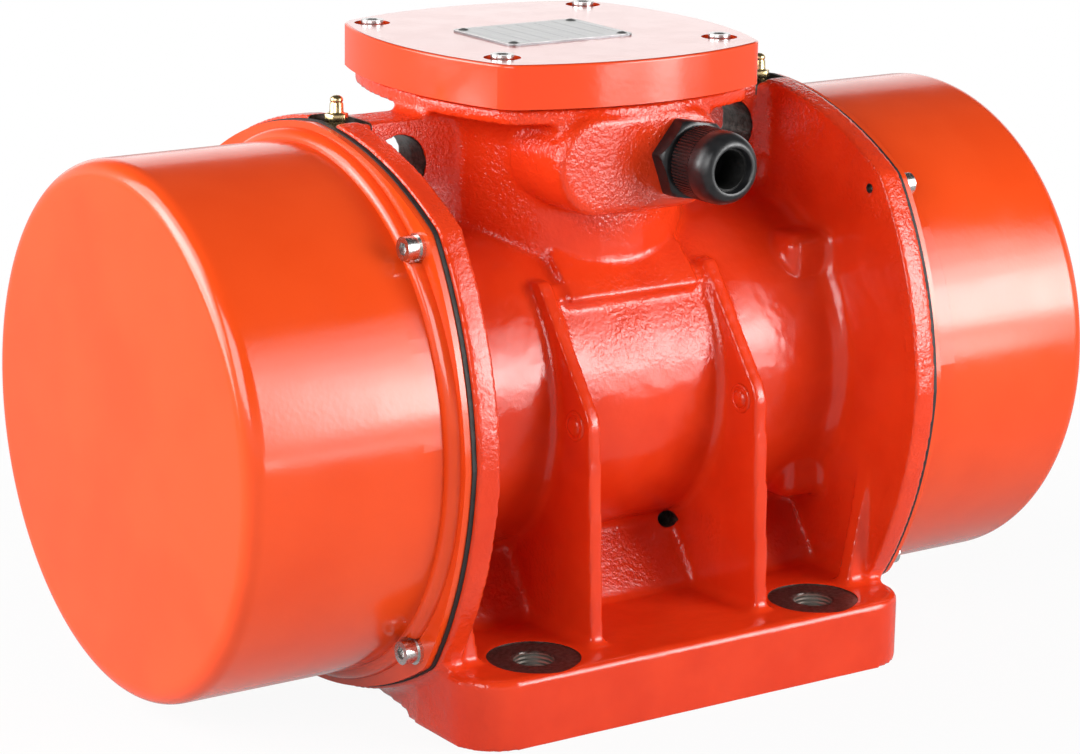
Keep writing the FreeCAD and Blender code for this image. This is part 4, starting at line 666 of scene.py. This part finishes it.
# %% A lathe
def lathe(name, profile, sides=96):
    """Turn a profile of (height, radius) pairs round Z: extrude the end face and resize it."""
    height, radius = profile[0]
    deselect()
    bpy.ops.mesh.primitive_circle_add(vertices=sides, radius=radius, location=(0, 0, height),
                                      fill_type="NGON")
    bpy.ops.object.mode_set(mode="EDIT")
    for next_height, next_radius in profile[1:]:
        rise = (0, 0, next_height - height)
        bpy.ops.mesh.extrude_region_move(TRANSFORM_OT_translate={"value": rise})
        ratio = next_radius / radius
        bpy.ops.transform.resize(value=(ratio, ratio, 1))
        height, radius = next_height, next_radius
    bpy.ops.mesh.select_all(action="SELECT")
    bpy.ops.mesh.normals_make_consistent(inside=False)
    bpy.ops.object.mode_set(mode="OBJECT")
    return named(name)


def in_mm(pairs):
    return [(height * MM, radius * MM) for height, radius in pairs]


def place(piece, spot, turn=(0, 0, 0)):
    """Turn a piece made at the origin, move it and keep that in its mesh."""
    piece.rotation_euler = turn
    piece.location = spot
    activate(piece)
    bpy.ops.object.transform_apply(location=True, rotation=True, scale=True)
    return piece

# %% The cup's profile
COVER_RADIUS = 115 * MM
CUP_START = 140 * MM
CORNER_LENGTH, CORNER_DEPTH, CORNER_STEPS, CORNER_EASE = 8 * MM, 9 * MM, 14, 0.9
DOME = 0.6 * MM
DOME_STEPS = (0.8, 0.55, 0.3, 0.08)
cup = [(CUP_START - 0.5 * MM, COVER_RADIUS)]
for step in range(CORNER_STEPS + 1):
    angle = math.pi / 2 * step / CORNER_STEPS
    along, inward = math.sin(angle) ** CORNER_EASE, 1 - math.cos(angle) ** CORNER_EASE
    cup.append((COVER_END - DOME - CORNER_LENGTH * (1 - along), COVER_RADIUS - CORNER_DEPTH * inward))
for step in DOME_STEPS:
    cup.append((COVER_END - DOME * step ** 2, (COVER_RADIUS - CORNER_DEPTH) * step))
print("rings in a cup:", len(cup))

# %% [markdown]
# The cup closes over the cut foot. The construction's triangles inside the foot's flat faces are
# dissolved first, and weighted normals then keep those faces flat beside their rounded folds.

# %% Turn the two cups and join their feet
for side, name in ((-1, "left_cover"), (1, "right_cover")):
    foot = merged_copy(NODES[name], name + "_foot", side * CUP_START)
    shell = place(lathe(name + "_cup", cup, 192), AXIS, (0, side * math.pi / 2, 0))
    modify(foot, "DECIMATE", decimate_type="DISSOLVE", angle_limit=math.radians(0.5))
    drawn = smooth(join([foot, shell], name + "_drawn"), 30)
    modify(drawn, "WEIGHTED_NORMAL", mode="FACE_AREA_WITH_ANGLE", keep_sharp=True)
    finish(drawn, "frame", "cover_paint", cover_paint.material, name)

# %% [markdown]
# ## The cable gland
# The gland's foot is a hexagon whose corners a lathe has rounded, so it is a six-sided cylinder
# intersected with a turned disc. The nut is turned with its mouth in one profile, and fine ribs
# stand round its grip.

# %% The gland's foot
def hexagon(name, flats, low, high, turn):
    """A six-sided prism, measured across its flats."""
    deselect()
    bpy.ops.mesh.primitive_cylinder_add(vertices=6, radius=flats / math.sqrt(3), depth=high - low,
                                        location=(0, 0, (low + high) / 2), rotation=(0, 0, turn))
    return named(name)


ROUNDING = ((0, 18.7), (0.6, 18.7), (5.0, 18.7), (6.6, 18.1), (7.6, 16.9), (8.0, 15.6))
GLAND_NECK = ((7, 13.2), (13, 13.2))
foot = hexagon("gland_foot", 33 * MM, 0, 8 * MM, math.radians(20))
disc = lathe("rounding", in_mm(ROUNDING))
modify(foot, "BOOLEAN", object=disc, operation="INTERSECT", solver="EXACT")
bpy.data.objects.remove(disc)
neck = lathe("gland_neck", in_mm(GLAND_NECK))
gland_foot = smooth(place(join([foot, neck], "gland_foot"), GLAND, ALONG_Y), 40)
finish(gland_foot, "frame", "black_nylon", nylon.material, "gland_body")

# %% The gland's nut
GRIP = [(9.6, 13.4), (9.6, 14.9), (10.2, 15.4), (21.6, 15.4), (22.0, 15.8), (25.0, 15.8)]
MOUTH = [(33.4, 9.9), (32.8, 9.5), (14.0, 9.3)]
CROWN_STEPS = 8
crown = []
for step in range(1, CROWN_STEPS + 1):
    angle = math.pi / 2 * step / CROWN_STEPS
    crown.append((25.0 + 8.6 * math.sin(angle), 10.6 + 5.2 * math.cos(angle)))
gland_nut = lathe("gland_nut", in_mm(GRIP + crown + MOUTH))

RIBS = 66
RIB_CIRCLE, RIB_HEIGHT = 15.5 * MM, 16 * MM
RIB_SIZE = (0.7 * MM, 0.7 * MM, 11.4 * MM)
ribs = []
for step in range(RIBS):
    turn = 2 * math.pi * step / RIBS
    centre = (RIB_CIRCLE * math.cos(turn), RIB_CIRCLE * math.sin(turn), RIB_HEIGHT)
    ribs.append(block("rib", centre, RIB_SIZE, (0, 0, turn)))
gland_nut = smooth(place(join([gland_nut, *ribs], "gland_nut_turned"), GLAND, ALONG_Y), 40)
finish(gland_nut, "frame", "black_nylon", nylon.material, "gland_nut")

# %% [markdown]
# ## Grease nipples
# Each brass nipple is a hexagon with a turned neck and a rounded head, where the grease gun grips.

# %% Grease nipples
NIPPLE = (
    (3.0, 4.2), (3.5, 3.3), (4.2, 3.0), (7.4, 2.9), (7.9, 2.5), (8.2, 2.5), (8.6, 2.8), (9.4, 2.8),
    (10.2, 2.4), (10.8, 1.4), (11.0, 0.4),
)
NIPPLE_HEIGHT = 11 * MM
THREAD_RADIUS = 3.6 * MM
for name in ("left_grease_nipple", "right_grease_nipple"):
    low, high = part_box(name)
    centre = ((low.x + high.x) / 2, (low.y + high.y) / 2, high.z - NIPPLE_HEIGHT)
    neck = lathe("nipple_neck", in_mm(NIPPLE), 32)
    nut = hexagon("nipple_hexagon", 9 * MM, 0, 3.2 * MM, math.radians(12))
    modify(nut, "BEVEL", width=0.35 * MM, segments=2, limit_method="ANGLE")
    ends = [(low.z - centre[2], THREAD_RADIUS), (0.5 * MM, THREAD_RADIUS)]
    thread = lathe("nipple_thread", ends, 24)
    nipple = smooth(place(join([nut, neck, thread], name + "_turned"), centre), 40)
    finish(nipple, "frame", "brass", brass.material, name)

# %% [markdown]
# ## The blank nameplate
# A thin plate with rounded corners: only its four upright edges are selected and bevelled. Its
# ruled lines are in its finish.

# %% Nameplate
plate = block("blank_nameplate", (plate_low + plate_high) / 2, plate_size)
bpy.ops.object.mode_set(mode="EDIT")
bpy.ops.mesh.select_mode(type="EDGE")
bpy.ops.object.mode_set(mode="OBJECT")
for edge in plate.data.edges:
    start, end = [plate.data.vertices[index].co for index in edge.vertices]
    edge.select = abs(start.z - end.z) > plate_size.z / 2
for item in (*plate.data.vertices, *plate.data.polygons):
    item.select = False
bpy.ops.object.mode_set(mode="EDIT")
bpy.ops.mesh.bevel(offset=3 * MM, segments=6)
bpy.ops.object.mode_set(mode="OBJECT")
finish(smooth(plate, 30), "frame", "aluminium", blank_plate.material, "nameplate")

# %% [markdown]
# ## Floor and surroundings
# The floor is white to the camera and keeps a soft shadow near the motor. Glossy paint sees a grey
# floor with one bright card on it in front of the motor, which shines in the side of the lid and
# fades to the right. Light Path tells these rays apart.

# %% What a studio ray sees
def studio_ray(tree):
    """Two masks: the camera's rays, and every ray that sees the surroundings."""
    rays = make(tree, "ShaderNodeLightPath", {}, {})
    kinds = ("Is Camera Ray", "Is Glossy Ray", "Is Transmission Ray")
    camera_ray, glossy_ray, pass_ray = rays.outputs(*kinds)
    return camera_ray, (camera_ray + glossy_ray + pass_ray).clamp()

# %% Floor
IN_REFLECTIONS, CARD = 0.5, 5.0
CARD_START, CARD_SLANT = (1.3, 1.5), 0.21
CARD_EDGE, CARD_FADE = (0, 0.05), (1.0, 0.1)
SHADOW_FROM, SHADOW_TO, SHADOW_DEPTH = 0.15, 0.75, 0.06
deselect()
bpy.ops.mesh.primitive_plane_add(size=30, location=(0, 0, 0))
floor = named("floor")
floor_finish = Finish("floor_finish", Roughness=0.9)
floor_finish.set("Specular IOR Level", 0.0)
floor_finish.set("Base Color", floor_finish.mottle(0.4, (0.64, 0.64, 0.64), (0.67, 0.67, 0.67)))
camera_ray, seen = studio_ray(floor_finish.tree)
floor_distance = from_centre(floor_finish.x, floor_finish.y)
beyond_edge = floor_finish.x + floor_finish.y * CARD_SLANT
card = floor_distance.span(*CARD_START) * beyond_edge.span(*CARD_EDGE) * beyond_edge.span(*CARD_FADE)
reflected = card * (floor_finish.y < 0) * CARD + IN_REFLECTIONS
strength = camera_ray + reflected * (1 - camera_ray)
white = floor_finish.make("ShaderNodeEmission", {}, {"Strength": strength})
shown = seen - camera_ray * floor_distance.span(SHADOW_FROM, SHADOW_TO, SHADOW_DEPTH, 0.0)
lit = Socket(floor_finish.tree, floor_finish.shader.outputs[0])
surface = floor_finish.make("ShaderNodeMixShader", {}, {0: shown, 1: lit, 2: white})
feed(floor_finish.tree, floor_finish.tree.nodes["Material Output"].inputs["Surface"], surface)
floor.data.materials.append(floor_finish.material)
print("floor:", [round(side, 2) for side in floor.dimensions])

# %% [markdown]
# The world is white to the camera, a gradient to reflections, from bright at the horizon to dark
# overhead, and nearly off as a light, so the lamps alone shape the motor.

# %% World
AMBIENT = 0.04
HORIZON, OVERHEAD = 0.8, 0.08
world = bpy.data.worlds.new("studio")
bpy.context.scene.world = world
world.use_nodes = True
sky = world.node_tree
camera_ray, seen = studio_ray(sky)
where = make(sky, "ShaderNodeTexCoord", {}, {}, "Generated")
height = make(sky, "ShaderNodeSeparateXYZ", {}, {"Vector": where}, "Z")
gradient = height.span(0.05, 0.5, HORIZON, OVERHEAD)
strength = camera_ray + (seen - camera_ray) * gradient + (1 - seen) * AMBIENT
background = sky.nodes["Background"]
feed(sky, background.inputs["Color"], (1, 1, 1))
feed(sky, background.inputs["Strength"], strength)
print("world nodes:", len(sky.nodes))

# %% [markdown]
# ## Light
# The key light at the front right is five upright boxes one behind another, each wider and
# higher than the last, so that it fades towards its edges as cloth in a real soft box does. A low
# card beside it lights the lid's side, two boxes at the left have the same fade, one at the
# left front fills the end cover, and a pale panel behind shines along the lid's top.

# %% Lamps
WATTS = 4  # an area lamp's watts per square metre for a brightness of 1


def softbox(name, azimuth, low, high, distance, width, brightness):
    """An upright lamp from one height to another that faces the shaft, hidden from the camera."""
    turn = math.radians(azimuth)
    lamp = bpy.data.lights.new(name, "AREA")
    lamp.shape = "RECTANGLE"
    lamp.size = width
    lamp.size_y = high - low
    lamp.energy = WATTS * brightness * width * (high - low)
    holder = bpy.data.objects.new(name, lamp)
    holder.location = (math.sin(turn) * distance, -math.cos(turn) * distance, (low + high) / 2)
    holder.rotation_euler = (math.pi / 2, 0, turn)
    holder.visible_camera = False
    bpy.context.scene.collection.objects.link(holder)
    print(f"{name}: {width:.2f} by {high - low:.2f}, {lamp.energy:.1f} W")


KEY_AZIMUTH, KEY_DISTANCE, KEY_GAP = 36, 1.35, 0.01
KEY_WIDTH, KEY_WIDENING = 0.66, 0.07
KEY_STEPS = (
    (0.27, 0.60, 3.6), (0.25, 0.76, 2.6), (0.22, 0.94, 1.6), (0.16, 1.15, 1.2), (0.03, 1.36, 1.3),
)
for count, (low, high, brightness) in enumerate(KEY_STEPS):
    distance, width = KEY_DISTANCE + count * KEY_GAP, KEY_WIDTH + count * KEY_WIDENING
    softbox(f"key_{count}", KEY_AZIMUTH, low, high, distance, width, brightness)
softbox("lid_card", 37.3, 0.002, 0.16, 1.33, 0.30, 4.0)
softbox("left_core", -117, 0.03, 1.30, 2.0, 1.0, 5.0)
softbox("left_spread", -118, 0.5, 2.4, 2.1, 2.0, 3.6)
softbox("left_front", -60, 0.45, 1.45, 1.7, 1.1, 4.8)
softbox("back_panel", 146, 0.25, 1.30, 2.6, 3.2, 0.54)

# %% [markdown]
# ## Camera
# A long lens from a metre and a half away, a little above the motor, keeps its upright edges
# nearly parallel. The camera is turned by three plain rotations: roll, then tilt, then azimuth.

# %% Camera
lens = bpy.data.cameras.new("camera")
lens.lens = 114.54
lens.sensor_width = 36
lens.shift_x = -0.0435
lens.shift_y = -0.0310
camera = bpy.data.objects.new("camera", lens)
bpy.context.scene.collection.objects.link(camera)
CAMERA_SPOT = (-0.8444, -1.2414, 0.5186)
AZIMUTH, ELEVATION, ROLL = [math.radians(v) for v in (-34.82, 14.30, 1.04)]
azimuth = Matrix.Rotation(AZIMUTH, 4, "Z")
tilt = Matrix.Rotation(math.pi / 2 - ELEVATION, 4, "X")
roll = Matrix.Rotation(ROLL, 4, "Z")
camera.matrix_world = Matrix.Translation(CAMERA_SPOT) @ azimuth @ tilt @ roll
bpy.context.scene.camera = camera
bpy.context.scene.view_settings.view_transform = "Standard"
print("camera at", CAMERA_SPOT)
